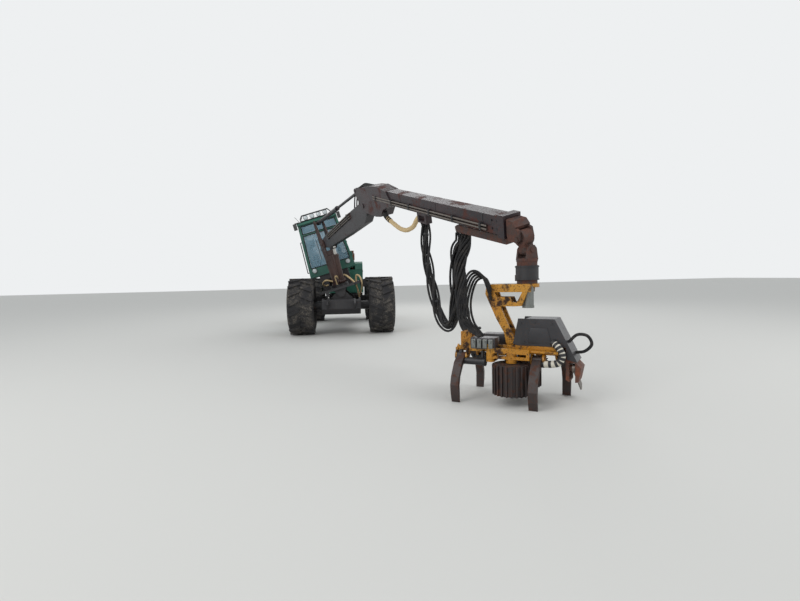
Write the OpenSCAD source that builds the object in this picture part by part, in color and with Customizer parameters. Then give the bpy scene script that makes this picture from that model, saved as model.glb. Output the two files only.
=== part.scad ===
// Forestry harvester on four wheels, parked with its crane out and the felling head on its claws.
// Every shape is first placed from the ground point under the front axle:
// +X forward, +Y to the machine's left, +Z up. The whole is then moved to the middle of its box.

/* [Wheels] */
// Tyre diameter over the lugs
tyre_d = 1454; // [1300:1:1600]
// Tyre width
tyre_w = 650; // [500:1:750]
// Height of the tread lugs
lug_h = 46; // [25:1:60]
// Lugs on each half of the tread
lug_count = 18; // [14:1:22]
// Rim diameter at the bead
rim_d = 690; // [600:1:760]
// Distance between the wheels' middles across the machine
track_w = 2030; // [1950:1:2200]
// Distance between the axles
wheelbase = 3900; // [3700:1:4200]
// Diameter of the axle tubes
axle_d = 220; // [160:1:260]
// Diameter of the planetary hubs
hub_d = 430; // [380:1:480]

/* [Frames] */
// Width of the front frame box
front_w = 950; // [800:1:1000]
// Height of the frames' undersides
belly_z = 530; // [450:1:600]
// Height of the front frame's top
front_top_z = 930; // [900:1:960]
// Front frame's length ahead of the front axle
front_nose = 640; // [500:1:750]
// Width of the rear frame box
rear_w = 900; // [800:1:1000]
// Height of the rear frame's top
rear_top_z = 950; // [900:1:1000]
// Rear frame's length behind the rear axle
rear_tail = 1080; // [1000:1:1200]
// Diameter of the centre pivot pins
centre_pin_d = 120; // [90:1:150]
// Radius of the recovery eye bores
eye_r = 32; // [25:1:40]
// Thickness of the recovery eye plates
eye_t = 40; // [30:1:60]

/* [Engine bay] */
// Length of the engine hood
hood_l = 1900; // [1700:1:2000]
// Width of the engine hood
hood_w = 1240; // [1100:1:1300]
// Height of the hood's top
hood_top_z = 1960; // [1800:1:2050]
// Sheet thickness of covers and fenders
sheet_t = 12; // [8:1:20]
// Diameter of the exhaust pipe
pipe_d = 110; // [80:1:140]

/* [Levelling deck] */
// Sideways lean of the deck as parked
deck_lean = 16; // [12:0.5:17]
// Height of the roll pins
roll_z = 1050; // [1040:1:1080]
// Gap from the roll pins' middle up to the deck plate
deck_rise = 110; // [105:1:140]
// Thickness of the deck plate
deck_t = 60; // [40:1:80]
// Width of the deck plate
deck_w = 1060; // [1000:1:1120]
// Diameter of the roll pins
roll_pin_d = 110; // [80:1:130]
// Levelling cylinder's outside diameter
level_d = 90; // [80:1:100]

/* [Cab] */
// Cab length
cab_l = 1400; // [1300:1:1450]
// Cab width at the floor
cab_w = 1300; // [1200:1:1340]
// Width lost on each side from floor to roof
cab_taper = 105; // [60:1:140]
// Cab height from floor to roof
cab_h = 1560; // [1500:1:1700]
// Height of the cab floor over the deck plate
cab_lift = 440; // [400:1:480]
// Sideways place of the cab on the deck
cab_side = -75; // [-100:1:0]
// Thickness of the cab panels
cab_t = 60; // [50:1:80]
// Height of the panel below the windows
sill_h = 250; // [200:1:420]
// Thickness of the glass
glass_t = 14; // [10:1:20]

/* [Crane] */
// Slew angle as parked
slew = 17.6; // [10:0.1:20]
// Distance of the slew axis behind the front axle
pillar_back = 440; // [400:1:460]
// Diameter of the crane pillar
pillar_d = 330; // [300:1:380]
// Height of the main boom's pin over the roll pins
main_pin_h = 1371; // [1330:1:1400]
// Main boom length between its pins
main_l = 3670; // [3500:1:3800]
// Main boom's climb as parked
main_up = 2.8; // [0:0.1:6]
// Main boom's depth in the middle
main_depth = 330; // [280:1:360]
// Main boom's width
main_w = 180; // [160:1:200]
// Outer boom's fall as parked
outer_down = 20.5; // [17:0.1:22]
// Height of the outer boom's tube over the elbow pin
outer_rise = 273; // [240:1:300]
// Outer boom's length from elbow to collar
outer_l = 4230; // [4000:1:4400]
// Outer boom's depth
outer_depth = 228; // [210:1:260]
// Outer boom's width
outer_w = 210; // [200:1:240]
// Wall of the outer boom's tube
outer_wall = 14; // [10:1:16]
// Diameter of the main boom and elbow pins
boom_pin_d = 90; // [70:1:100]
// Side plate thickness at the elbow
cheek_t = 30; // [24:1:36]
// Diameter of the tip pins
tip_pin_d = 60; // [50:1:70]
// Running gap beside moving plates
side_gap = 6; // [5:0.5:10]

/* [Felling head] */
// Compass angle of the head's feed line from straight ahead
head_turn = 55; // [45:1:65]
// Height of the head's tilt frame
yoke_top_z = 1330; // [1300:1:1360]
// Offset of the head's middle line from the rotator
head_off = -80; // [-100:1:0]
// Diameter of the feed rollers
roller_d = 430; // [400:1:450]
// Height of the feed rollers
roller_h = 337; // [300:1:360]
// Ribs on each feed roller
roller_ribs = 24; // [18:1:30]
// Width of the head's spine
spine_w = 340; // [300:1:360]
// Height of the spine's underside
spine_z = 560; // [540:1:600]
// Width of the delimbing knives along the feed line
knife_w = 95; // [70:1:110]

/* [Hidden] */
$fn = 48;

// Middle of the whole machine's box, seen from above
box_mid_x = 1237;
box_mid_y = 802;

// Colours as the photograph shows them
green = "#1F4D43";
black = "#24242A";
rust = "#6B4034";
yellow = "#C29024";
rubber = "#35322F";
steel = "#8E8C88";
brown = "#7A5140";
cream = "#D8C39C";
glass = "#8FB4C8";

// Wheels
tread_r = tyre_d / 2 - lug_h;
half_track = track_w / 2;
tyre_gap = 1;
lug_w = 62;
lug_reach = 310;
lug_skew = 24;
lug_root = 24;
lug_half = lug_reach * sin(lug_skew) / 2 + lug_w / 2;
lug_top = sqrt(pow(tyre_d / 2, 2) - pow(lug_half, 2));
hub_face = 60;
hub_in = -30;
hub_l = 210;

// Places along the machine
steer_x = -wheelbase / 2;
rear_x = -wheelbase;
wheel_z = tyre_d / 2;
pillar_x = -pillar_back;

// Cab place on the deck
cab_front = -960;
cab_back = cab_front - cab_l;
deck_top = deck_rise + deck_t;
cab_floor = deck_top + cab_lift;
cab_top_w = cab_w - 2 * cab_taper;
cab_lean = atan(cab_taper / cab_h);

// Crane places, in the crane's own upright plane
main_root = 30;
elbow_r = main_root + main_l * cos(main_up);
elbow_h = main_pin_h + main_l * sin(main_up);
jib_dir = -outer_down;
tip_out = 190;
tip_drop = 110;
tip_rise = outer_rise - tip_drop;
tip_r = elbow_r + (outer_l + tip_out) * cos(jib_dir) - tip_rise * sin(jib_dir);
tip_h = elbow_h + (outer_l + tip_out) * sin(jib_dir) + tip_rise * cos(jib_dir);

// The tip pin's place from the ground point, after slew and lean
tip_x = pillar_x + tip_r * cos(slew);
tip_y = tip_r * sin(slew) * cos(deck_lean) - tip_h * sin(deck_lean);
tip_z = roll_z + tip_r * sin(slew) * sin(deck_lean) + tip_h * cos(deck_lean);
// Hang of the link in the crane's plane, and out of it
hang_in = atan(sin(deck_lean) * sin(slew) / cos(deck_lean));
hang_out = asin(sin(deck_lean) * cos(slew));
link_drop = 150;

// Point straight under the link's lower pin, where the rotator turns
low_x = tip_r - link_drop * sin(hang_in);
low_h = tip_h - link_drop * cos(hang_in);
turn_x = pillar_x + low_x * cos(slew);
turn_y = low_x * sin(slew) * cos(deck_lean) - low_h * sin(deck_lean);
turn_z = roll_z + low_x * sin(slew) * sin(deck_lean) + low_h * cos(deck_lean);

module carrier() {
  translate([-box_mid_x, -box_mid_y, 0]) children();
}

module on_deck() {
  carrier() translate([0, 0, roll_z]) rotate([deck_lean, 0, 0]) children();
}

module on_cab() {
  on_deck() translate([0, cab_side, 0]) children();
}

module on_crane() {
  on_deck() translate([pillar_x, 0, 0]) rotate([0, 0, slew]) children();
}

module on_main() {
  on_crane() translate([main_root, 0, main_pin_h]) rotate([0, -main_up, 0]) children();
}

module on_outer() {
  on_crane() translate([elbow_r, 0, elbow_h]) rotate([0, -jib_dir, 0]) children();
}

// Middle line of the outer boom's tube
module on_tube() {
  on_outer() translate([0, 0, outer_rise]) children();
}

module on_link() {
  on_crane() translate([tip_r, 0, tip_h]) rotate([0, hang_in, 0]) children();
}

module on_rotator() {
  carrier() translate([turn_x, turn_y, 0]) rotate([0, 0, head_turn]) children();
}

module on_head() {
  on_rotator() translate([0, head_off, 0]) children();
}

// A plate cut from a side view outline, standing across Y
module side_plate(points, width, at = 0) {
  translate([0, at + width / 2, 0]) rotate([90, 0, 0]) linear_extrude(width) polygon(points);
}

// A round bar across Y
module cross_pin(x, z, d, width, at = 0) {
  translate([x, at + width / 2, z]) rotate([90, 0, 0]) cylinder(d = d, h = width);
}

// Wheels: corner name, place along, side
corners = [
  ["fl", 0, 1],
  ["fr", 0, -1],
  ["rl", rear_x, 1],
  ["rr", rear_x, -1]];

module at_wheel(i) {
  carrier() translate([corners[i][1], corners[i][2] * half_track, wheel_z])
    rotate([corners[i][2] > 0 ? -90 : 90, 0, 0]) children();
}

// Tyre section: distance from the axle, place across
module tyre_section() {
  w = tyre_w / 2;
  b = rim_d / 2;
  polygon([[b + tyre_gap, -w * 0.62], [b + 70, -w * 0.86], [b + 190, -w], [tread_r - 60, -w * 0.96],
    [tread_r - 12, -w * 0.86], [tread_r, -w * 0.5], [tread_r, w * 0.5], [tread_r - 12, w * 0.86],
    [tread_r - 60, w * 0.96], [b + 190, w], [b + 70, w * 0.86], [b + tyre_gap, w * 0.62]]);
}

module tyre(i) {
  color(rubber) at_wheel(i) {
    rotate_extrude($fn = 36) tyre_section();
    for (side = [-1, 1], k = [0:lug_count - 1])
      rotate([0, 0, (k + (side > 0 ? 0.5 : 0)) * 360 / lug_count])
        translate([tread_r - lug_root, lug_half - lug_w / 2, side * 8]) rotate([side * lug_skew, 0, 0])
          translate([0, -lug_w / 2, side > 0 ? 0 : -lug_reach])
            cube([lug_top - tread_r + lug_root, lug_w, lug_reach]);
  }
}

// Rim section turned about the axle, with the disc set in from the outer face
module rim(i) {
  w = tyre_w / 2;
  b = rim_d / 2;
  color(yellow) at_wheel(i) {
    rotate_extrude() polygon([[b - 30, -w * 0.6], [b, -w * 0.6], [b, w * 0.6], [b - 30, w * 0.6],
      [b - 45, w * 0.3], [b - 90, hub_face + 30], [hub_d / 2 - 60, hub_face + 30],
      [hub_d / 2 - 60, hub_face], [b - 110, hub_face], [b - 62, w * 0.2], [b - 62, -w * 0.4]]);
    translate([0, 0, hub_in]) cylinder(d = hub_d, h = hub_l);
    translate([0, 0, hub_in + hub_l - 1]) cylinder(d = hub_d - 150, h = 50);
  }
}

// Axle with its flanges, from hub to hub
module axle(x, half_box) {
  end = half_track + hub_in - 0.3;
  carrier() translate([x, 0, wheel_z]) rotate([90, 0, 0]) {
    cylinder(d = axle_d, h = 2 * end, center = true);
    cylinder(d = axle_d * 1.8, h = axle_d * 1.4, center = true);
    for (side = [-1, 1]) translate([0, 0, side * (end - 30)]) cylinder(d = axle_d * 1.4, h = 60,
      center = true);
  }
  for (side = [-1, 1]) carrier()
    translate([x - axle_d * 0.6, side > 0 ? half_box + axle_gap : -half_box - axle_gap - 60,
      wheel_z - axle_d * 0.4])
      cube([axle_d * 1.2, 60, axle_d * 0.8]);
}

axle_gap = 0.3;

module axle_room(x) {
  translate([x, 0, wheel_z]) rotate([90, 0, 0]) {
    cylinder(d = axle_d + 2 * axle_gap, h = 3 * track_w, center = true);
    cylinder(d = axle_d * 1.8 + 2 * axle_gap, h = axle_d * 1.4 + 2 * axle_gap, center = true);
  }
}

module front_axle() {
  color(black) axle(0, front_w / 2);
}

module rear_axle() {
  color(black) axle(rear_x, rear_w / 2);
}

// Centre pivot: heights of the yoke and lug plates
yoke_t = 50;
yoke_low = belly_z + 20;
yoke_high = rear_top_z - 20 - yoke_t;
pin_gap = 0.4;
rear_box_front = steer_x - 280;
front_box_back = steer_x + 260;

module pivot_plate(to_x, z, width) {
  translate([steer_x, 0, z]) cylinder(d = centre_pin_d * 2.4, h = yoke_t);
  translate([min(to_x, steer_x), -width / 2, z]) cube([abs(to_x - steer_x), width, yoke_t]);
}

// Frame box: side view outline with a raised or cut belly, hollow from above between its end walls
module frame_box(outline, x0, x1, width, wall) {
  difference() {
    side_plate(outline, width);
    intersection() {
      translate([0, 0, wall * 2]) side_plate(outline, width - 2 * wall);
      translate([x0 + wall, -width, 0]) cube([x1 - x0 - 2 * wall, 2 * width, 3000]);
    }
  }
}

rear_end = rear_x - rear_tail;
hitch_z = belly_z + 130;

module rear_frame() {
  wall = 40;
  outline = [[rear_box_front, belly_z], [rear_x + 350, belly_z], [rear_x + 220, belly_z + 60],
    [rear_end + 260, belly_z + 60], [rear_end, belly_z + 180], [rear_end, rear_top_z],
    [rear_box_front, rear_top_z]];
  color(black) carrier() {
    difference() {
      frame_box(outline, rear_end, rear_box_front, rear_w, wall);
      axle_room(rear_x);
    }
    for (z = [yoke_low, yoke_high]) pivot_plate(rear_box_front - 5, z, centre_pin_d * 2.4);
    for (z = [yoke_low, yoke_high - yoke_t - 2 * side_gap])
      translate([steer_x, 0, z]) cylinder(d = centre_pin_d, h = 2 * (yoke_t + side_gap));
    for (x = [engine_x + 100, engine_x + engine_l - 200])
      translate([x, -rear_w / 2 + wall / 2, rear_top_z - 80]) cube([100, rear_w - wall, 80]);
    translate([rear_end - 60, -rear_w / 2 - 180, rear_top_z - 330]) cube([61, rear_w + 360, 260]);
    for (side = [-1, 1]) difference() {
      translate([rear_end - 180, side * 330 - eye_t / 2, hitch_z]) cube([125, eye_t, 160]);
      cross_pin(rear_end - 120, hitch_z + 80, 2 * eye_r, eye_t + 10, side * 330);
    }
  }
}

hood_front = rear_x + 780;
hood_back = hood_front - hood_l;
hood_base = rear_top_z;
engine_h = 620;
engine_l = 1050;
engine_w = 600;
engine_x = hood_back + 420;

module engine_block() {
  color(steel) carrier() translate([engine_x, -engine_w / 2, rear_top_z + 0.3])
    cube([engine_l, engine_w, engine_h]);
}

// Side covers of the engine bay with louvre slots, open at the top
module engine_hood() {
  louvre_pitch = 52;
  bay_top = hood_top_z - 260;
  color(green) carrier() at_lid_hinges() hinge_fixed();
  color(green) carrier() difference() {
    union() {
      for (side = [-1, 1]) side_plate([[hood_front, hood_base], [hood_front, bay_top],
        [hood_back, bay_top - 60], [hood_back, hood_base]], sheet_t * 3,
          side * (hood_w / 2 - sheet_t * 1.5));
      translate([hood_front - sheet_t * 3, -hood_w / 2, hood_base])
        cube([sheet_t * 3, hood_w, bay_top - hood_base]);
      translate([hood_back, -hood_w / 2, hood_base]) cube([sheet_t * 3, hood_w, bay_top - 60 - hood_base]);
      translate([hood_back, -hood_w / 2, hood_base]) cube([hood_l, hood_w, sheet_t]);
    }
    for (k = [0:7]) translate([hood_back + 260, -hood_w, hood_base + 170 + k * louvre_pitch])
      cube([520, hood_w * 2, louvre_pitch / 2]);
    for (k = [0:8]) translate([hood_back - 50, -hood_w / 2 + 120, hood_base + 130 + k * louvre_pitch])
      cube([120, hood_w - 240, louvre_pitch / 2]);
    translate([engine_x - 0.3, -engine_w / 2 - 0.3, rear_top_z - 1])
      cube([engine_l + 0.6, engine_w + 0.6, engine_h]);
    wheel_arch(rear_x);
  }
}

module wheel_arch(x) {
  for (side = [-1, 1]) translate([x, side * half_track, wheel_z]) rotate([90, 0, 0])
    cylinder(d = tyre_d + 90, h = tyre_w + 60, center = true);
}

// Lid over the engine, hinged at its rear edge and slotted so that it swings clear of the exhaust
lid_gap = 6;
pipe_x = hood_front - 520;
pipe_y = hood_w / 2 - 330;
pipe_room = 31;

module hood_lid() {
  low = hood_top_z - 260 + lid_gap;
  color(green) carrier() at_lid_hinges() hinge_moving();
  color(green) carrier() difference() {
    side_plate([[hood_front, low], [hood_front - 60, hood_top_z - 60], [hood_front - 180, hood_top_z],
      [hood_back + 260, hood_top_z - 60], [hood_back + 20, hood_top_z - 200], [hood_back, low - 60]],
        hood_w);
    side_plate([[hood_front - 40, low - 80], [hood_front - 95, hood_top_z - 90],
      [hood_front - 200, hood_top_z - 36], [hood_back + 270, hood_top_z - 96],
      [hood_back + 60, hood_top_z - 225], [hood_back + 40, low - 140]], hood_w - 80);
    translate([pipe_x, pipe_y, low]) cylinder(d = pipe_d + 2 * pipe_room, h = 600);
    translate([pipe_x, pipe_y - pipe_d / 2 - pipe_room, low - 200])
      cube([hood_front - pipe_x + 10, pipe_d + 2 * pipe_room, 800]);
  }
}

module exhaust() {
  color(rust) carrier() translate([pipe_x, pipe_y, 0]) {
    translate([0, 0, rear_top_z + engine_h + 0.6]) cylinder(d = pipe_d,
      h = hood_top_z + 380 - rear_top_z - engine_h);
    translate([0, 0, hood_top_z + 60]) cylinder(d = pipe_d + 50, h = 230);
  }
}

// Front frame: nose, pivot lugs and the stands that carry the deck's roll pins
// The tow eyes reach in front of the tyres, so that a pin slides in from the side
nose_eye_out = 140;
stand_t = 70;
stand_front = 250;
stand_rear = steer_x + 330;
stand_gap = 6;
stand_foot = front_w / 2 - 20;
level_fork_t = 22;

// Two plates with pin ends along X for the levelling ram's eye; the pin runs across unless it is open
module level_fork(at_y, pin_z, z0, z1, eye_w, open) {
  reach = eye_w / 2 + side_gap / 2 + level_fork_t;
  for (side = [-1, 1]) {
    translate([level_x + side * (reach - level_fork_t / 2) - level_fork_t / 2, at_y - 38, z0])
      cube([level_fork_t, 76, z1 - z0]);
    translate([level_x + (side > 0 ? reach - level_fork_t : -reach - 8), at_y, pin_z]) rotate([0, 90, 0])
      cylinder(d = level_pin, h = level_fork_t + 8);
  }
  if (!open) translate([level_x - reach, at_y, pin_z]) rotate([0, 90, 0])
    cylinder(d = level_pin, h = 2 * reach);
}

module front_frame() {
  wall = 40;
  outline = [[front_box_back, belly_z + 30], [-420, belly_z], [420, belly_z], [front_nose, belly_z + 150],
    [front_nose, front_top_z - 60], [front_nose - 60, front_top_z], [front_box_back, front_top_z]];
  color(black) carrier() {
    difference() {
      frame_box(outline, front_box_back, front_nose, front_w, wall);
      axle_room(0);
    }
    for (x = [stand_front, stand_rear]) difference() {
      translate([x, 0, 0]) rotate([90, 0, 90]) linear_extrude(stand_t)
        polygon([[-stand_foot, front_top_z - 200], [-stand_foot, front_top_z - 150], [-110, roll_z + 40],
          [-60, roll_z + 85], [60, roll_z + 85],
          [110, roll_z + 40],
          [stand_foot, front_top_z - 150], [stand_foot, front_top_z - 200]]);
      translate([x - 1, 0, roll_z]) rotate([0, 90, 0]) cylinder(d = roll_pin_d + 2 * pin_gap,
        h = stand_t + 2);
    }
    for (z = [yoke_low + yoke_t + side_gap, yoke_high - yoke_t - side_gap]) difference() {
      pivot_plate(front_box_back + 45, z, centre_pin_d * 2.2);
      translate([steer_x, 0, z - 1]) cylinder(d = centre_pin_d + 2 * pin_gap, h = yoke_t + 2);
    }
    for (side = [-1, 1]) difference() {
      side_plate([[front_nose - 5, belly_z + 160], [front_nose - 5, belly_z + 400],
        [front_nose + nose_eye_out, belly_z + 335],
        [front_nose + nose_eye_out + 55, belly_z + 300], [front_nose + nose_eye_out + 55, belly_z + 260],
        [front_nose + nose_eye_out, belly_z + 225]], eye_t, side * 330);
      cross_pin(front_nose + nose_eye_out, belly_z + 280, 2 * eye_r, eye_t + 10, side * 330);
    }
    level_fork(level_foot[0], level_foot[1], belly_z + 60, level_foot[1] + 32, level_foot_w, false);
  }
}

// Mudguards behind and over the front wheels, bolted to the frame
fender_gap = 70;

module front_fenders() {
  r = tyre_d / 2 + fender_gap;
  color(black) carrier() for (side = [-1, 1]) {
    difference() {
      translate([0, side * (half_track - 30), wheel_z]) rotate([90, 0, 0]) difference() {
        cylinder(r = r + sheet_t, h = tyre_w - 120, center = true, $fn = 120);
        cylinder(r = r, h = tyre_w, center = true, $fn = 120);
      }
      translate([-2000, side * half_track - tyre_w, -500]) cube([4000, 2 * tyre_w, wheel_z + 630]);
      translate([-r * cos(58), side * half_track - tyre_w, 0]) cube([4000, 2 * tyre_w, 3000]);
    }
    translate([-r - 4, side * (front_w / 2 + 0.3) - (side < 0 ? 300 : 0), wheel_z + 100])
      cube([sheet_t + 30, 300, 120]);
    translate([-r - 4, side * (front_w / 2 + 0.3) - (side < 0 ? 60 : 0), front_top_z - 160])
      cube([60, 60, wheel_z + 220 - front_top_z + 160]);
  }
}

deck_front = 150;
deck_back = steer_x - 120;
lobe_t = 50;
tongue_w = 760;
cab_base_back = cab_back + 240;
cab_base_w = 820;
plate_t = 40;

// Deck plate with its roll lobes, crane ring and the dark step box at the cab's corner
module deck() {
  color(black) on_deck() {
    difference() {
      union() {
        translate([deck_back, -deck_w / 2, deck_rise]) cube([deck_front - deck_back, deck_w, deck_t]);
        for (x = [stand_front - lobe_t - stand_gap, stand_front + stand_t + stand_gap,
            stand_rear - lobe_t - stand_gap, stand_rear + stand_t + stand_gap])
          translate([x, 0, 0]) rotate([90, 0, 90]) linear_extrude(lobe_t)
            polygon([[-90, -20], [-50, -85], [50, -85], [90, -20], [170, deck_rise + 20],
              [-170, deck_rise + 20]]);
        translate([deck_front - 60, -tongue_w / 2, deck_rise + 5])
          cube([level_x + 60 - deck_front + 60, tongue_w, deck_t - 10]);
      }
      translate([deck_back + 300, -220, deck_rise - 1]) cube([430, 440, deck_t + 2]);
    }
    for (x = [stand_front, stand_rear])
      translate([x - stand_gap - 1, 0, 0]) rotate([0, 90, 0]) cylinder(d = roll_pin_d,
        h = stand_t + 2 * stand_gap + 2);
    translate([pillar_x, 0, deck_rise + deck_t - 1]) cylinder(d = pillar_d + 150, h = 71);
    level_fork(level_head[0], level_head[1], level_head[1] - 32, deck_rise + 20, level_eye_w, true);
    translate([cab_front - 200, deck_w / 2 - 2, deck_rise - 150]) cube([190, 190, 210]);
    difference() {
      translate([cab_base_back, cab_side - cab_base_w / 2, deck_rise + 1])
        cube([cab_front - 50 - cab_base_back, cab_base_w, deck_t + cab_lift - 0.4]);
      translate([cab_base_back + plate_t, cab_side - cab_base_w / 2 + plate_t, deck_rise])
        cube([cab_front - 50 - cab_base_back - 2 * plate_t, cab_base_w - 2 * plate_t,
          deck_t + cab_lift - plate_t]);
      translate([deck_back - 1, cab_side - 200, deck_top]) cube([2000, 400, cab_lift - 150]);
    }
  }
}

// Rams: pin across Y at the origin, reaching up +Z
ram_gap = 0.6;

module ram_barrel(d, rod_d, len, eye_w, pin) {
  difference() {
    union() {
      translate([0, 0, pin * 0.6]) cylinder(d = d, h = len - pin * 0.6);
      translate([0, 0, len - d * 0.45]) cylinder(d = d * 1.12, h = d * 0.45);
      rotate([90, 0, 0]) cylinder(d = pin * 2, h = eye_w, center = true);
    }
    translate([0, 0, pin * 1.1]) cylinder(d = rod_d + 2 * ram_gap, h = len);
    rotate([90, 0, 0]) cylinder(d = pin + 2 * pin_gap, h = eye_w + 2, center = true);
  }
}

// The rod's eye keeps its own pin, so it can leave the fork
module ram_rod(d, eye_at, len, eye_w, pin) {
  translate([0, 0, eye_at - len]) cylinder(d = d, h = len - pin * 0.6);
  translate([0, 0, eye_at]) rotate([90, 0, 0]) {
    cylinder(d = pin * 2, h = eye_w, center = true);
    cylinder(d = pin, h = eye_w + 3, center = true);
  }
}

// Levelling ram, pinned in the front frame and to a lug under the deck's tongue
level_pin = 40;
level_eye_w = 50;
level_foot_w = level_d + 6;
level_x = 410;
level_foot = [-300, belly_z + 150];
level_head = [-330, 40];
level_head_y = level_head[0] * cos(deck_lean) - level_head[1] * sin(deck_lean);
level_head_z = roll_z + level_head[0] * sin(deck_lean) + level_head[1] * cos(deck_lean);
level_turn = -atan((level_head_y - level_foot[0]) / (level_head_z - level_foot[1]));
level_len = sqrt(pow(level_head_y - level_foot[0], 2) + pow(level_head_z - level_foot[1], 2));
level_barrel_l = 262;
level_rod_l = 268;

module on_level() {
  carrier() translate([level_x, level_foot[0], level_foot[1]]) rotate([level_turn, 0, 0])
    rotate([0, 0, 90]) children();
}

module level_barrel() {
  color(black) on_level() ram_barrel(level_d, level_d * 0.5, level_barrel_l, level_foot_w, level_pin);
}

module level_rod() {
  color(steel) on_level() ram_rod(level_d * 0.5, level_len, level_rod_l, level_eye_w, level_pin);
}

// A fork for a ram's eye: two plates with pin ends; the pin runs across unless it is open
module fork(outline, x, z, eye_w, t, pin, open = false) {
  plate_y = eye_w / 2 + side_gap / 2 + t / 2;
  for (side = [-1, 1]) {
    side_plate(outline, t, side * plate_y);
    cross_pin(x, z, pin, t + 8, side * (plate_y + 4));
  }
  if (!open) cross_pin(x, z, pin, 2 * plate_y);
}

// Crane pillar with its fork for the main boom and the lug for the upper link
lift_pin = 60;
lift_eye_w = 80;
lift_foot_w = 150;
lift_foot = [330, 300];
lift_head = [500, -200];
jib_foot = [-120, 1960];
jib_pin = 60;
jib_eye_w = 90;
lever = [-296, 253];
fork_t = 34;

module pillar() {
  color(brown) on_crane() {
    translate([0, 0, deck_top + 71]) cylinder(d = pillar_d + 60, h = 60);
    translate([0, 0, deck_top + 71]) cylinder(d = pillar_d, h = main_pin_h - 280 - deck_top);
    for (side = [-1, 1]) side_plate([[-170, main_pin_h - 330], [170, main_pin_h - 330],
      [150, main_pin_h + 30], [70, main_pin_h + 120], [10, main_pin_h + 330], [-50, jib_foot[1] + 20],
      [-90, jib_foot[1] + 75], [-150, jib_foot[1] + 75], [-190, jib_foot[1] + 20],
        [-210, main_pin_h + 200]],
      fork_t, side * (main_w / 2 + side_gap + fork_t / 2));
    side_plate([[-170, main_pin_h - 330], [170, main_pin_h - 330], [170, main_pin_h - 230],
      [-170, main_pin_h - 200]],
      main_w + 2 * side_gap + 2);
    cross_pin(main_root, main_pin_h, boom_pin_d, main_w + 2 * side_gap + 2 * fork_t + 30);
    cross_pin(jib_foot[0], jib_foot[1], jib_pin, main_w + 2 * side_gap + 2 * fork_t + 16);
    fork([[100, lift_foot[1] - 40], [lift_foot[0], lift_foot[1] - 50], [lift_foot[0] + 50, lift_foot[1]],
      [lift_foot[0] + 35, lift_foot[1] + 45], [120, lift_foot[1] + 190]],
      lift_foot[0], lift_foot[1], lift_foot_w, 26, lift_pin);
  }
}

module main_boom() {
  mid = main_depth / 2;
  color(black) on_main() {
    difference() {
      union() {
        side_plate([[-70, -100], [-112, 0], [-60, 100], [500, mid - 15], [2400, mid - 30],
          [main_l - 200, 105],
          [main_l - 10, 98], [main_l - 10, -98], [main_l - 60, -190], [main_l - 300, -285],
            [2000, -mid - 85], [1000, -mid - 40],
          [420, -mid - 20], [70, -110]],
          main_w);
        cross_pin(main_l, 0, 200, main_w);
        cross_pin(0, 0, 215, main_w);
      }
      cross_pin(0, 0, boom_pin_d + 2 * pin_gap, main_w + 2);
      cross_pin(main_l, 0, boom_pin_d + 2 * pin_gap, main_w + 2);
      side_plate([[lift_head[0] - 130, -70], [lift_head[0] + 130, -70], [lift_head[0] + 240, -300],
        [lift_head[0] - 300, -300]], lift_eye_w + side_gap);
    }
    fork([[lift_head[0] - 130, -mid - 5], [lift_head[0] - 50, lift_head[1] - 45],
      [lift_head[0] + 50, lift_head[1] - 45],
      [lift_head[0] + 150, -mid - 5]], lift_head[0], lift_head[1], lift_eye_w, 26, lift_pin, true);
  }
}

// Lift ram in front of the pillar
lift_head_r = main_root + lift_head[0] * cos(main_up) - lift_head[1] * sin(main_up);
lift_head_h = main_pin_h + lift_head[0] * sin(main_up) + lift_head[1] * cos(main_up);
lift_turn = atan((lift_head_r - lift_foot[0]) / (lift_head_h - lift_foot[1]));
lift_len = sqrt(pow(lift_head_r - lift_foot[0], 2) + pow(lift_head_h - lift_foot[1], 2));
lift_d = 140;
lift_barrel_l = 722;
lift_rod_l = 717;

module on_lift() {
  on_crane() translate([lift_foot[0], 0, lift_foot[1]]) rotate([0, lift_turn, 0]) children();
}

module lift_barrel() {
  color(brown) on_lift() ram_barrel(lift_d, lift_d * 0.55, lift_barrel_l, lift_foot_w, lift_pin);
}

module lift_rod() {
  color(steel) on_lift() ram_rod(lift_d * 0.55, lift_len, lift_rod_l, lift_eye_w, lift_pin);
}

// Upper link with its jib ram, from the pillar's head to the outer boom's lever
lever_r = elbow_r + lever[0] * cos(jib_dir) - lever[1] * sin(jib_dir);
lever_h = elbow_h + lever[0] * sin(jib_dir) + lever[1] * cos(jib_dir);
jib_turn = 90 - atan((lever_h - jib_foot[1]) / (lever_r - jib_foot[0]));
jib_len = sqrt(pow(lever_r - jib_foot[0], 2) + pow(lever_h - jib_foot[1], 2));
jib_d = 100;
jib_barrel_l = 1900;
jib_rod_l = 2150;

module on_jib() {
  on_crane() translate([jib_foot[0], 0, jib_foot[1]]) rotate([0, jib_turn, 0]) children();
}

module jib_barrel() {
  color(black) on_jib() ram_barrel(jib_d, jib_d * 0.6, jib_barrel_l, jib_eye_w, jib_pin);
}

module jib_rod() {
  color(black) on_jib() ram_rod(jib_d * 0.6, jib_len, jib_rod_l, main_w, jib_pin);
}

// Outer boom: tube, elbow cheeks with the lever, collar and hose bracket
box_start = 330;
bracket_x = 2250;
collar_l = 120;

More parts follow.
